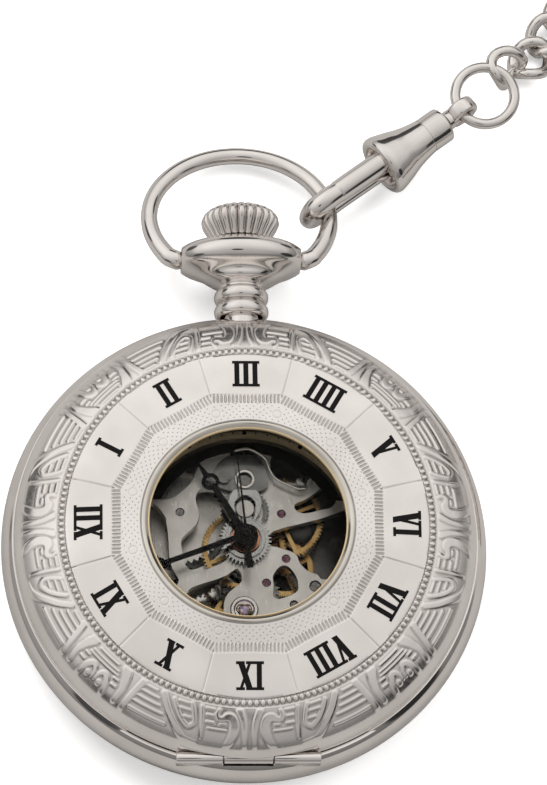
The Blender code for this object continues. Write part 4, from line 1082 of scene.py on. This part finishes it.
def crystals():
    pane = rod(12.95, 13.37, 10.5, 0.1)
    add("lid_glass", lathe(pane, 128), "glass", 32.0, "front_lid", "glass", "lid_crystal")
    edge = 20.25
    radii = [edge * i / 16 for i in range(17)]
    top = [(r, 8.75 + 3.4 * (1 - (r / edge) ** 2)) for r in radii]
    under = [(r, z - 0.5) for r, z in reversed(top)]
    add("inner_glass", lathe(top + under, 128), "glass", 32.0, "case", "glass", "inner_crystal")


# ---------------------------------------------------------------- numerals

STEM, SERIF, HALF_HEIGHT = 0.52, 0.29, 1.46
GLYPH_WIDTH = {"I": 0.93, "V": 1.86, "X": 1.86}


def bar(u0, v0, u1, v1, width):
    """A slanted stroke whose ends are level: it runs from (u0, v0) to (u1, v1)."""
    half = width / 2 * math.hypot(u1 - u0, v1 - v0) / abs(v1 - v0)
    return [(u0 - half, v0), (u0 + half, v0), (u1 + half, v1), (u1 - half, v1)]


def glyph(letter, u):
    """The strokes of one letter centred on u, as outlines."""
    high = HALF_HEIGHT
    foot = high - SERIF
    level = {1: (foot, high), -1: (-high, -foot)}

    def serif(middle, width, end):
        low, top = level[end]
        left, right = middle - width / 2, middle + width / 2
        return [(left, low), (right, low), (right, top), (left, top)]

    if letter == "I":
        return [bar(u, -high, u, high, STEM), serif(u, 0.95, 1), serif(u, 0.95, -1)]
    if letter == "V":
        strokes = [bar(u + 0.12, -high, u - 0.5, high, 0.6), bar(u - 0.05, -high, u + 0.55, high, 0.28)]
        return strokes + [serif(u - 0.47, 0.95, 1), serif(u + 0.52, 0.82, 1)]
    strokes = [bar(u + 0.48, -high, u - 0.48, high, 0.6), bar(u - 0.5, -high, u + 0.5, high, 0.29)]
    for end in (1, -1):
        strokes += [serif(u - 0.5, 0.88, end), serif(u + 0.5, 0.88, end)]
    return strokes


def grown(outline, by):
    """The outline of a four-sided stroke pushed out on every side."""
    middle_u = sum(p[0] for p in outline) / 4
    middle_v = sum(p[1] for p in outline) / 4
    made = []
    for u, v in outline:
        made.append((u + math.copysign(by, u - middle_u), v + math.copysign(by, v - middle_v)))
    return made


def numeral(name, text, clock, grow, high, look, slot):
    """One numeral standing on its panel, with its foot towards the window."""
    strokes = []
    u = -sum(GLYPH_WIDTH[c] for c in text) / 2
    for letter in text:
        strokes += glyph(letter, u + GLYPH_WIDTH[letter] / 2)
        u += GLYPH_WIDTH[letter]
    solids = []
    for i, outline in enumerate(strokes):
        lift = 0.0007 * (i % 5)
        solids.append(flat([(NUMERAL_BASE - lift, high + lift, [grown(outline, grow + lift)])]))
    made = to_object(name, solids[0], look)
    carve(made, [("UNION", solid) for solid in solids[1:]])
    turn = math.radians(clock)
    for vert in made.data.vertices:
        u, v, w = (c / MM for c in vert.co)
        x = (NUMERAL_R + v) * math.sin(turn) + u * math.cos(turn)
        y = (NUMERAL_R + v) * math.cos(turn) - u * math.sin(turn)
        radius = math.hypot(x, y)
        around = math.degrees(math.atan2(x, y))
        ground = base_height(radius) + facet_rise(np.array(radius), np.array(around)) + 0.03
        vert.co = (x * MM, y * MM, (float(ground) + w) * MM)
    made.data.update()
    piece(made, "front_lid", slot)


def numerals():
    """Each numeral in black enamel, on a slightly wider and lower nickel edge."""
    for i, text in enumerate(NUMERALS):
        for name, grow, high, look, slot in (
            ("numeral_edge_", 0.085, 0.02, "nickel", "case_nickel"),
            ("numeral_", 0.0, 0.05, "enamel", "black_lacquer"),
        ):
            numeral(f"{name}{i + 1:02d}", text, 30.0 * i, grow, high, LOOKS[look], slot)


# ---------------------------------------------------------------- pendant, crown, bow


def bezel():
    profile = [(22.2, 8.0), (22.2, 8.15), (22.5, 8.15), (22.5, 8.4)]
    profile += spline([(22.3, 8.5), (21.7, 8.95), (21.2, 9.12), (20.7, 9.17), (20.4, 9.05)], 5)
    profile += [(20.3, 8.95), (20.3, 8.2), (19.8, 8.2), (19.8, 8.0)]
    cuts = (block((-1.4, 20.9, 7.5), (1.4, 24.0, 9.6)), block((-1.2, -24.0, 7.5), (1.2, -20.9, 9.6)))
    add("bezel_ring", lathe(profile, 192), "nickel", 50.0, "case", "case_nickel", "inner_bezel", cuts=cuts)


def pendant():
    profile = [(1.25, 22.6), (1.85, 22.6), (1.85, 25.0)]
    rolls = (
        ((2.3, 25.0), (2.6, 25.1), (2.82, 25.45), (2.84, 25.95), (2.62, 26.35), (2.3, 26.5)),
        ((2.26, 26.6), (2.6, 26.75), (2.82, 27.1), (2.84, 27.55), (2.66, 27.95), (2.3, 28.15)),
    )
    for roll in rolls:
        profile += spline(roll, 5)
    profile += spline([(2.2, 28.25), (2.22, 28.45), (2.42, 28.62)], 3)
    profile += spline(
        [(2.62, 28.72), (3.6, 29.2), (5.0, 29.95), (6.2, 30.5), (6.8, 31.0), (7.0, 31.6), (6.85, 32.2),
         (6.2, 32.8), (5.2, 33.2), (4.4, 33.4), (4.0, 33.42), (3.82, 33.34)], 5,
    )
    profile += [(3.75, 33.2), (3.75, 32.2), (2.2, 32.2), (2.2, 31.0), (1.25, 31.0)]
    bm = lathe(profile, 112)
    for vert in bm.verts:
        share = min(max((vert.co.xy.length - 2.6) / 2.2, 0.0), 1.0)
        vert.co.y *= 1.0 - share * share * (3 - 2 * share) * (1.0 - PENDANT_SQUASH)
    bm.transform(along_y((0, 0, AXIS_Z)))
    made = to_object("pendant_bulb", bm, LOOKS["nickel"], 50.0)
    tools = []
    for side in (-1, 1):
        ends = sorted((side * PENDANT_FLAT_X, side * 9.0))
        tools.append(("DIFFERENCE", block((ends[0], 28.0, -1.0), (ends[1], 36.0, 13.0))))
        ends = sorted((side * 4.6, side * 9.0))
        socket = lathe(rod(ends[0], ends[1], 0.75), 40, place=along_x((0, BOW_PIVOT_Y, AXIS_Z)))
        tools.append(("DIFFERENCE", socket))
    carve(made, tools, 42.0)
    piece(made, "case", "case_nickel", "pendant")


def bow_point(turn):
    """A point of the bow's middle line: turn is the ellipse's own angle."""
    reach = BOW_CENTRE + BOW_B * math.sin(turn)
    return (
        BOW_A * math.cos(turn),
        BOW_PIVOT_Y + reach * math.cos(BOW_DROOP),
        AXIS_Z - reach * math.sin(BOW_DROOP),
    )


def bow():
    foot = -math.asin(BOW_CENTRE / BOW_B)
    count = 120
    turns = [foot + (math.pi - 2 * foot) * i / count for i in range(count + 1)]
    ring = [(*bow_point(t), BOW_WIRE_R + 0.16 * max(0.0, -math.sin(t))) for t in turns][2:-2]
    ends = [(5.0, 0.62), (5.8, 0.62), (6.24, 0.7), (6.5, 0.98)]
    right = [(x, BOW_PIVOT_Y, AXIS_Z, r) for x, r in ends]
    left = [(-x, y, z, r) for x, y, z, r in reversed(right)]
    points = right + ring + left
    bm = wire([p[:3] for p in points], [p[3] for p in points], 2)
    add("bow_wire", bm, "nickel", 50.0, "bow", "case_nickel", "bow")


def crown():
    heights = spline(
        [(32.8, 2.35), (33.2, 2.6), (33.8, 3.0), (34.5, 3.45), (35.2, 3.9), (35.8, 4.12), (36.3, 4.02),
         (36.7, 3.75), (37.0, 3.3), (37.2, 2.7), (37.5, 1.9), (37.72, 1.0)], 3,
    )
    per_flute = 14
    count = CROWN_FLUTES * per_flute
    bm = bmesh.new()
    rings = []
    for height, radius in heights:
        depth = 0.15 * (1 - 0.9 * smoothstep(36.9, 37.5, height)) * smoothstep(32.8, 33.3, height)
        ring = []
        for i in range(count):
            a = 2 * math.pi * i / count
            valley = 1 - abs(math.cos(math.pi * i / per_flute)) ** 0.4
            reach = radius * (1 - depth * valley)
            ring.append(bm.verts.new((reach * math.cos(a), reach * math.sin(a), height)))
        rings.append(ring)
    skin(bm, rings)
    tip = bm.verts.new((0, 0, CROWN_TIP))
    for i in range(count):
        bm.faces.new((rings[-1][i - 1], rings[-1][i], tip))
    bm.faces.new(rings[0])
    bm.transform(along_y((0, 0, AXIS_Z)))
    add("crown_fluted", bm, "nickel", 50.0, "crown_and_stem", "case_nickel", "crown")


# ---------------------------------------------------------------- clasp


def clasp_frame():
    """A frame at the hooked wire: X along the clasp, Y across it, Z up."""
    return Matrix.Translation(bow_point(HOOK_TURN)) @ Matrix.Rotation(CLASP_TURN, 4, "Z")


def clasp():
    frame = clasp_frame()
    along = frame @ Matrix.Translation((0, 0, CLASP_AXIS_Z)) @ Matrix.Rotation(math.pi / 2, 4, "Y")
    profile = [(2.3, 10.6), (2.4, 7.45)]
    profile += spline([(2.5, 7.3), (2.8, 7.2), (3.15, 7.3), (3.33, 7.6), (3.33, 8.1), (3.18, 8.7)], 4)
    profile += spline([(3.12, 8.9), (2.85, 9.8), (2.5, 10.8), (2.22, 11.9), (2.06, 12.8), (1.99, 13.3)], 4)
    profile += [(1.98, 13.34), (1.92, 13.36), (1.92, 13.42), (1.98, 13.44)]
    profile += spline([(1.97, 13.6), (1.97, 15.55), (1.88, 15.85), (1.7, 15.98)], 3)
    profile += [(0.98, 16.0), (0.98, 10.6)]
    bell = lathe(profile, 72, place=along)
    add("clasp_bell", bell, "nickel", 50.0, "clasp", "case_nickel", "clasp_body")
    low = -1.85
    path = [(8.2, 0, low), (6.0, 0, low), (3.0, 0, low), (0.6, 0, low), (-0.9, 0, low + 0.25)]
    path += [(-1.9, 0, low + 0.95), (-2.35, 0, 0.1), (-2.05, 0, 1.2), (-1.25, 0, 1.9), (0.0, 0, 2.12)]
    path += [(1.35, 0, 2.05)]
    radii = [0.75, 0.72, 0.7, 0.72, 0.8, 0.95, 1.06, 1.13, 1.17, 1.17, 1.14]
    add("clasp_hook", wire(path, radii, 6, frame), "nickel", 50.0, "clasp", "case_nickel")
    path = [(1.42, 0, 2.05), (1.5, 0, 2.05), (3.4, 0, 2.03), (6.4, 0, 1.95), (8.2, 0, 1.9)]
    radii = [1.08, 1.19, 1.22, 1.22, 1.12]
    gate = wire(path, radii, 6, frame)
    add("clasp_gate_bar", gate, "nickel", 50.0, "clasp_gate", "case_nickel", "clasp_gate")


def swivel():
    frame = clasp_frame() @ Matrix.Translation((0, 0, CLASP_AXIS_Z))
    along = frame @ Matrix.Rotation(math.pi / 2, 4, "Y")
    shank = [(0, 9.0), (1.5, 9.0), (1.5, 10.1), (0.88, 10.1), (0.88, 16.2), (1.05, 16.3)]
    shank += [(1.05, 17.1), (0.8, 17.5), (0, 17.6)]
    bm = lathe(shank, 48, place=along)
    add("swivel_shank", bm, "nickel", 50.0, "swivel", "case_nickel", "swivel_eye")
    points = []
    for i in range(48):
        a = 2 * math.pi * i / 48
        points.append(frame @ Vector((EYE_S + 1.42 * math.cos(a), 0, 1.42 * math.sin(a))))
    bm = flat_ring(points, frame @ Vector((EYE_S, 0, 0)), 0.38, 0.82)
    add("swivel_eye_ring", bm, "nickel", 50.0, "swivel", "case_nickel")


def flat_ring(points, middle, thick, wide):
    """A closed band along points round the middle: its section is thick outwards and wide across."""
    bm = bmesh.new()
    axis = (points[0] - middle).cross(points[len(points) // 4] - middle).normalized()
    rings = []
    for point in points:
        outward = (point - middle).normalized()
        ring = []
        for k in range(FLAT_RING_SIDES):
            a = 2 * math.pi * k / FLAT_RING_SIDES
            c, s = math.cos(a), math.sin(a)
            u = math.copysign(abs(c) ** 0.6, c) * thick
            v = math.copysign(abs(s) ** 0.6, s) * wide
            ring.append(bm.verts.new(point + outward * u + axis * v))
        rings.append(ring)
    for i, ring in enumerate(rings):
        for k in range(FLAT_RING_SIDES):
            bm.faces.new((rings[i - 1][k - 1], ring[k - 1], ring[k], rings[i - 1][k]))
    return bm


def jump_ring():
    lean = Matrix.Translation(RING_AT) @ Matrix.Rotation(RING_TILT, 4, "X")
    points = [lean @ Vector((x, y, 0.0)) for x, y in circle(RING_R, 96)]
    bm = sweep(points, [RING_WIRE_R] * len(points), 24, closed=True)
    add("jump_ring_wire", bm, "nickel", 60.0, "jump_ring", "case_nickel", "jump_ring")


# ---------------------------------------------------------------- movement


def plate_openings():
    """The windows sawn through the main plate."""
    rim = 12.2
    left = arc(rim, 161, 205, 5) + [
        (-7.0, -4.6), (-7.5, -2.9), (-7.8, -1.7), (-7.9, 0.6), (-8.1, 2.1), (-8.2, 2.7), (-9.4, 4.1),
    ]
    upper_left = [
        (-9.4, 4.6), (-7.6, 4.7), (-6.7, 5.3), (-5.5, 6.5), (-4.8, 8.1), (-4.5, 8.6),
    ] + arc(rim, 112, 155, 5)
    middle_left = [
        (-4.5, 5.7), (-5.0, 4.7), (-4.7, 3.3), (-4.75, 2.4), (-5.2, 1.6), (-6.4, 0.4), (-6.5, -0.6),
        (-6.1, -2.5), (-5.3, -3.2), (-4.5, -3.2), (-3.4, -2.7), (-2.0, -2.0), (-1.9, -1.0),
        (-2.2, 0.0), (-2.0, 1.6), (-1.5, 2.6), (-1.6, 4.6), (-2.8, 5.6),
    ]
    lower_left = [(-0.8, -2.9), (-1.9, -3.6), (-3.4, -4.2), (-4.9, -4.7), (-5.7, -5.1), (-6.2, -5.8)]
    lower_left += arc(rim, 222, 250, 4)
    lower_left += [(-2.7, -9.4), (-2.3, -7.5), (-2.2, -6.3), (-1.6, -5.3), (-0.4, -4.2)]
    lower_right = [
        (2.85, -3.65), (3.5, -2.7), (4.3, -2.6), (5.1, -3.5), (5.4, -4.6), (5.1, -5.45), (3.5, -6.1),
        (2.85, -5.8), (2.9, -4.6),
    ]
    right = [(2.9, 1.15), (7.7, 2.5), (11.2, 3.75)]
    right += list(reversed(arc(rim, -14, 14, 4)))
    right += [(8.2, -4.0), (7.4, -3.45), (6.5, -3.15), (5.65, -2.3), (5.1, -1.2), (3.2, -0.5), (2.3, -0.3)]
    slot = [
        (5.2, 4.1), (6.5, 4.75), (8.3, 6.1), (9.1, 5.9), (9.5, 4.7), (8.9, 3.8), (7.9, 3.55),
        (6.3, 3.15), (5.4, 3.4),
    ]
    top_right = [(3.3, 7.0), (4.6, 6.5), (6.2, 6.6), (7.4, 7.6), (7.2, 9.6)]
    top_right += arc(rim, 60, 72, 3) + [(2.7, 8.8)]
    loops = (left, upper_left, middle_left, lower_left, lower_right, right, slot, top_right)
    return [spline(loop, 3, closed=True) for loop in loops]


SCREW_HOLES = ((7.15, -4.74, 0.6), (4.95, -6.73, 0.45))


def plate():
    low, high = PLATE_Z
    outline = arc(PLATE_R, 96, 444, 120) + [(1.4, 6.95), (-1.4, 6.95)]
    holes = [circle(0.42, 32)]
    holes += [circle(0.44, 32, at) for at in (BARREL, THIRD, FOURTH, ESCAPE)]
    holes += [circle(1.42, 48, BALANCE)]
    holes += [circle(0.14, 16, at) for at in (MINUTE_AXIS, SETTING)]
    holes += [circle(r, 32, (x, y)) for x, y, r in SCREW_HOLES]
    bm = flat([(low, high, [outline] + holes + plate_openings())])
    add("plate_skeleton", bm, "plate", 16.0, "case", "plate_nickel", "main_plate", bevel=0.05)


def slotted_screw(name, at, base, top, radius):
    """A screw with a domed, slotted head."""
    head = [(0.0, base), (radius * 0.55, base), (radius * 0.55, top - 0.3), (radius, top - 0.3)]
    head += [(radius, top - 0.06), (radius * 0.93, top), (0.0, top + 0.03)]
    made = to_object(name, lathe(head, 40, (*at, 0.0)), LOOKS["steel"], 40.0)
    slot = block((-radius * 1.2, -0.07, top - 0.14), (radius * 1.2, 0.07, top + 0.2))
    turn = math.radians(12 + 37 * radius * at[0])
    slot.transform(Matrix.Translation((*at, 0.0)) @ Matrix.Rotation(turn, 4, "Z"))
    return carve(made, [("DIFFERENCE", slot)], 40.0)


def screws():
    made = slotted_screw("keyless_screw_head", (-2.13, 6.6), 7.25, 8.42, 0.66)
    piece(made, "case", "steel", "keyless_screw")
    for name, at, base, top, radius in (
        ("spring_screw", (5.86, 6.25), 7.25, 8.4, 0.56),
        ("plate_screw_right", (7.15, -4.74), 6.3, 7.0, 0.55),
        ("plate_screw_low", (4.95, -6.73), 6.3, 7.0, 0.4),
        ("plate_screw_left", (-3.59, 6.46), 7.22, 7.9, 0.5),
    ):
        piece(slotted_screw(name, at, base, top, radius), "case", "steel")


def dial_ring():
    profile = [(20.9, 7.35), (20.9, 7.7)]
    profile += spline([(12.45, 7.7), (12.25, 7.85), (11.7, 8.38), (11.55, 8.45)], 4)
    profile += [(11.27, 8.45), (11.25, 8.4), (11.25, 7.35)]
    add("dial_ring", lathe(profile, 192), "gilt", 45.0, "case", "gilt", "chapter_ring")
    bm = bmesh.new()
    for i in range(60):
        clock = math.radians(6.0 * i)
        half = 0.2 if i % 5 == 0 else 0.05
        inner, outer = (11.27, 11.66) if i % 5 == 0 else (11.4, 11.56)
        side = Vector((math.cos(clock), -math.sin(clock), 0))
        out = Vector((math.sin(clock), math.cos(clock), 0))
        corners = [(inner, -half), (outer, -half), (outer, half), (inner, half)]
        low = [bm.verts.new(out * r + side * s + Vector((0, 0, 8.4))) for r, s in corners]
        high = [bm.verts.new(out * r + side * s + Vector((0, 0, 8.475))) for r, s in corners]
        for k in range(4):
            bm.faces.new((low[k - 1], low[k], high[k], high[k - 1]))
        bm.faces.new(low)
        bm.faces.new(high)
    add("minute_marks", bm, "enamel", 32.0, "case", "black_lacquer")


def holder():
    ring = lathe([(21.1, 2.8), (21.1, 7.25), (14.0, 7.25), (14.0, 2.8)], 192)
    bore = lathe(rod(12.0, 23.0, 1.15), 40, place=along_y((0, 0, AXIS_Z)))
    add("movement_holder", ring, "lacquer", 32.0, "case", "black_lacquer", "movement_ring", cuts=(bore,))


def gear_outline(teeth, radius, depth, at=CENTRE):
    """A toothed outline with trapezoid teeth as deep as depth, measured in from radius."""
    points = []
    for i in range(teeth):
        for share, reach in ((0.0, -1.0), (0.22, -1.0), (0.38, 0.0), (0.62, 0.0), (0.78, -1.0)):
            a = 2 * math.pi * (i + share) / teeth
            r = radius + reach * depth
            points.append((at[0] + r * math.cos(a), at[1] + r * math.sin(a)))
    return points


def spokes(count, inner, outer, half, at, turn):
    """The openings between the arms of a wheel."""
    holes = []
    for i in range(count):
        start, end = (turn + 2 * math.pi * k / count for k in (i, i + 1))
        loop = []
        loop += around(at, outer, np.linspace(start + half / outer, end - half / outer, 12))
        loop += around(at, inner, np.linspace(end - half / inner, start + half / inner, 12))
        holes.append(loop)
    return holes


def train_wheels():
    """The gilt wheels of the train with their arms; each has its pinion and arbor."""
    for name, at, z, teeth, radius, arbor, leaves in (
        ("centre_wheel", (0.0, 0.0), 4.7, 72, 4.39, (3.6, 8.9, 0.33), 12),
        ("third_wheel", THIRD, 5.4, 75, 4.46, (2.4, 6.3, 0.16), 10),
        ("fourth_wheel", FOURTH, 3.75, 80, 3.07, (2.4, 6.3, 0.1), 9),
    ):
        rim = gear_outline(teeth, radius, 3.6 * radius / teeth, at)
        holes = spokes(4, 0.8, radius - 0.62, 0.2, at, 0.4)
        bm = flat([(z, z + 0.2, [rim, circle(arbor[2] - 0.02, 24, at)] + holes)])
        add(name + "_teeth", bm, "brass", 16.0, name, "brass", name)
        low, high, shaft_r = arbor
        bore = 0.2 if name == "centre_wheel" else 0.0
        shaft = lathe([(bore, low), (shaft_r, low), (shaft_r, high), (bore, high)], 24, (*at, 0.0))
        add(name + "_arbor", shaft, "steel", 40.0, name, "steel")
        leaf_loops = [gear_outline(leaves, 0.62, 0.2, at), circle(shaft_r - 0.02, 24, at)]
        pinion = flat([(z - 0.9, z - 0.35, leaf_loops)])
        add(name + "_leaves", pinion, "steel", 16.0, name, "steel")


def hour_wheel():
    bm = flat([(7.8, 7.98, [gear_outline(40, 2.68, 0.3), circle(0.72, 40)])])
    add("hour_wheel_teeth", bm, "bright_steel", 16.0, "hour", "steel", "hour_wheel")
    pipe = lathe([(0.72, 7.99), (0.95, 7.99), (0.95, 9.4), (0.72, 9.4)], 40)
    add("hour_pipe", pipe, "steel", 40.0, "hour", "steel")


def painted_top_shade():
    """Painted shade: a dark polished sheet that arches over the upper part of the movement, where it lies
    in shadow.
    """
    outline = arc(13.95, 18, 162, 80) + list(reversed(arc(9.75, 28, 152, 60)))
    add("painted_shade_band", flat([(7.23, 7.33, [outline])]), "top_shade_paint", 16.0, "case", "black_lacquer")


def minute_bridge():
    """The polished steel yoke over the motion work: a ring round the hands' hub, and a loop above it."""
    outer = arc(2.08, 118, 422, 40)
    outer += spline([(1.55, 2.9), (1.75, 3.9), (1.5, 4.9), (1.15, 5.35)], 4)
    outer += [(-1.15, 5.35)] + spline([(-1.5, 4.9), (-1.75, 3.9), (-1.55, 2.9)], 4)
    window = spline(
        [(0.0, 4.75), (0.95, 4.1), (1.0, 3.0), (0.75, 2.1), (0.0, 1.95), (-0.75, 2.1), (-1.0, 3.0),
         (-0.95, 4.1)], 4, closed=True,
    )
    bm = flat([(8.06, 8.26, [outer, circle(1.62, 48), window])])
    add("minute_bridge", bm, "bright_steel", 16.0, "case", "steel", bevel=0.04)
    disc = lathe([(0.0, 8.05), (0.9, 8.05), (0.95, 8.1), (0.9, 8.15), (0.0, 8.15)], 64, (0.0, 3.3, 0.0))
    add("minute_wheel_cap", disc, "plate", 40.0, "case", "plate_nickel")
    ring = lathe([(1.05, 8.3), (1.5, 8.3), (1.52, 8.36), (1.5, 8.42), (1.05, 8.42)], 64)
    add("hub_washer", ring, "copper", 40.0, "hour", "brass")


def keyless():
    cover = spline(
        [(-3.0, 5.9), (-1.6, 5.3), (0.0, 5.15), (1.6, 5.3), (2.4, 5.9), (2.35, 7.0), (1.75, 8.6),
         (0.9, 9.2), (-0.9, 9.25), (-2.0, 8.9), (-2.9, 8.0), (-3.3, 6.9)], 5, closed=True,
    )
    bm = flat([(7.85, 8.05, [cover, circle(0.42, 32, (-2.13, 6.6)), circle(0.72, 40, (0.0, 6.5))])])
    add("keyless_plate", bm, "steel", 16.0, "case", "steel", "keyless_cover", bevel=0.04)
    profile = [(0.74, 8.07), (1.02, 8.07), (1.04, 8.14), (0.98, 8.2), (0.78, 8.2), (0.72, 8.14)]
    ring = lathe(profile, 64, (0.0, 6.5, 0.0))
    add("setting_ring", ring, "nickel", 40.0, "case", "steel")
    route = [(-0.9, 9.55), (0.3, 9.75), (1.4, 9.3), (2.2, 8.6), (2.6, 7.5), (3.2, 6.55), (4.5, 5.85)]
    points = spline([(x, y, 8.27) for x, y in route + [(5.6, 5.42), (6.2, 5.5)]], 8)
    points, radii = rounded_ends(points, [0.14] * len(points))
    spring = sweep(points, radii, 14)
    add("lever_spring_wire", spring, "nickel", 50.0, "case", "steel", "setting_lever_spring")


def jewels():
    profile = [(0.0, 6.4), (0.41, 6.4), (0.41, 7.02), (0.36, 7.08), (0.2, 7.04), (0.1, 6.9), (0.0, 6.88)]
    for name, at in (("third", THIRD), ("fourth", FOURTH), ("escape", ESCAPE)):
        bm = lathe(profile, 40, (*at, 0.0))
        add(name + "_stone", bm, "ruby", 50.0, "case", "ruby", name + "_jewel")
    ring = [(1.38, 6.3), (1.38, 7.26), (1.32, 7.32), (1.08, 7.32), (0.95, 7.05), (0.6, 7.0), (0.58, 6.3)]
    bm = lathe(ring, 64, (*BALANCE, 0))
    add("shock_ring", bm, "nickel", 40.0, "case", "plate_nickel", "balance_shock_ring")
    cap = [(0, 6.75), (0.52, 6.75), (0.52, 7.1)] + spline([(0.5, 7.14), (0.35, 7.22), (0.0, 7.26)], 4)
    add("cap_stone", lathe(cap, 48, (*BALANCE, 0)), "violet", 50.0, "case", "ruby", "balance_cap_jewel")
    points = []
    for i in range(90):
        a = 2 * math.pi * i / 90
        reach = 0.62 + 0.14 * math.cos(3 * a - math.pi / 2)
        points.append((BALANCE[0] + reach * math.cos(a), BALANCE[1] + reach * math.sin(a), 7.28))
    bm = sweep(points, [0.055] * len(points), 10, closed=True)
    add("shock_spring", bm, "brass", 60.0, "case", "gilt")


def hand(body, clock, z, ring_at, ring_r, tip, width, hub, bore):
    """A blackened hand with a round boss, a swelling stem and a pierced ring before its point."""
    turn = math.radians(90.0 - clock)

    def place(s, t):
        return (s * math.cos(turn) - t * math.sin(turn), s * math.sin(turn) + t * math.cos(turn))

    spread = math.asin(width / 2 / hub)
    gap = math.asin(width * 0.42 / ring_r)
    outline = [place(s, t) for s, t in around(CENTRE, hub, np.linspace(spread, 2 * math.pi - spread, 48))]
    ring = around((ring_at, 0.0), ring_r, np.linspace(math.pi + gap, 2 * math.pi - 0.32, 20))
    point = spline([ring[-1], (ring_at + ring_r * 1.5, -width * 0.32), (tip, -0.03)], 5)[1:]
    lower = ring + point
    outline += [place(s, t) for s, t in lower] + [place(s, -t) for s, t in reversed(lower)]
    pierced = [place(s, t) for s, t in circle(ring_r - 0.4, 32, (ring_at, 0.0))]
    holes = [circle(bore, 40), pierced]
    bm = flat([(z, z + 0.16, [outline] + holes)])
    add(body + "_hand_black", bm, "enamel", 16.0, body, "black_lacquer", body + "_hand", bevel=0.03)


def hands():
    hand("hour", HOUR_CLOCK, 9.2, 6.83, 0.92, 9.4, 0.76, 1.25, 0.98)
    hand("minute", MINUTE_CLOCK, 9.56, 9.5, 0.76, 14.4, 0.62, 1.12, 0.63)
    turn = math.radians(90.0 - SECOND_CLOCK)
    side = [(8.65, 0.05), (2.0, 0.11), (0.78, 0.17)]
    tail = [(-0.74, 0.15), (-1.8, 0.24), (-3.4, 0.36), (-3.7, 0.3)]
    edge = side + around(CENTRE, 0.75, np.linspace(0.3, math.pi - 0.25, 20)) + tail
    loop = edge + [(s, -t) for s, t in reversed(edge)]
    c, k = math.cos(turn), math.sin(turn)
    outline = [(s * c - t * k, s * k + t * c) for s, t in loop]
    bm = flat([(9.9, 10.05, [outline, circle(0.17, 16)])])
    add("second_hand_black", bm, "enamel", 35.0, "seconds", "black_lacquer", "second_hand", bevel=0.02)
    boss = [(0.0, 10.06), (0.42, 10.06), (0.42, 10.16), (0.36, 10.24), (0.2, 10.26), (0.16, 10.2)]
    boss += [(0.0, 10.2)]
    add("second_hand_boss", lathe(boss, 40), "enamel", 40.0, "seconds", "black_lacquer")


# Looks of the frame's own nodes that stay in sight
NODE_LOOKS = {
    "shadow_steel": ("barrel_bridge", "train_bridge", "balance_cock", "pallet_bridge", "mainspring"),
    "plate": ("barrel", "ratchet_wheel"),
    "steel": (
        "stem", "click", "crown_wheel", "winding_pinion", "sliding_pinion", "barrel_arbor",
        "hairspring", "escape_wheel", "pallet_fork", "cannon_pinion", "minute_wheel", "setting_wheel",
        "lid_hinge_pin", "lid_catch_spring", "lid_lift_spring", "centre_seconds_arbor",
    ),
    "brass": ("balance_wheel", "crown_sleeve"),
}


def frame_looks():
    for look, names in NODE_LOOKS.items():
        for name in names:
            mesh = frame["nodes"][name].data
            mesh.materials.clear()
            mesh.materials.append(LOOKS[look])


camera()
studio()
chain()
case_band()
case_back()
lid()
lid_dots()
window_rim()
crystals()
numerals()
bezel()
pendant()
bow()
crown()
clasp()
swivel()
jump_ring()
plate()
screws()
dial_ring()
holder()
painted_top_shade()
train_wheels()
hour_wheel()
minute_bridge()
keyless()
jewels()
hands()
frame_looks()
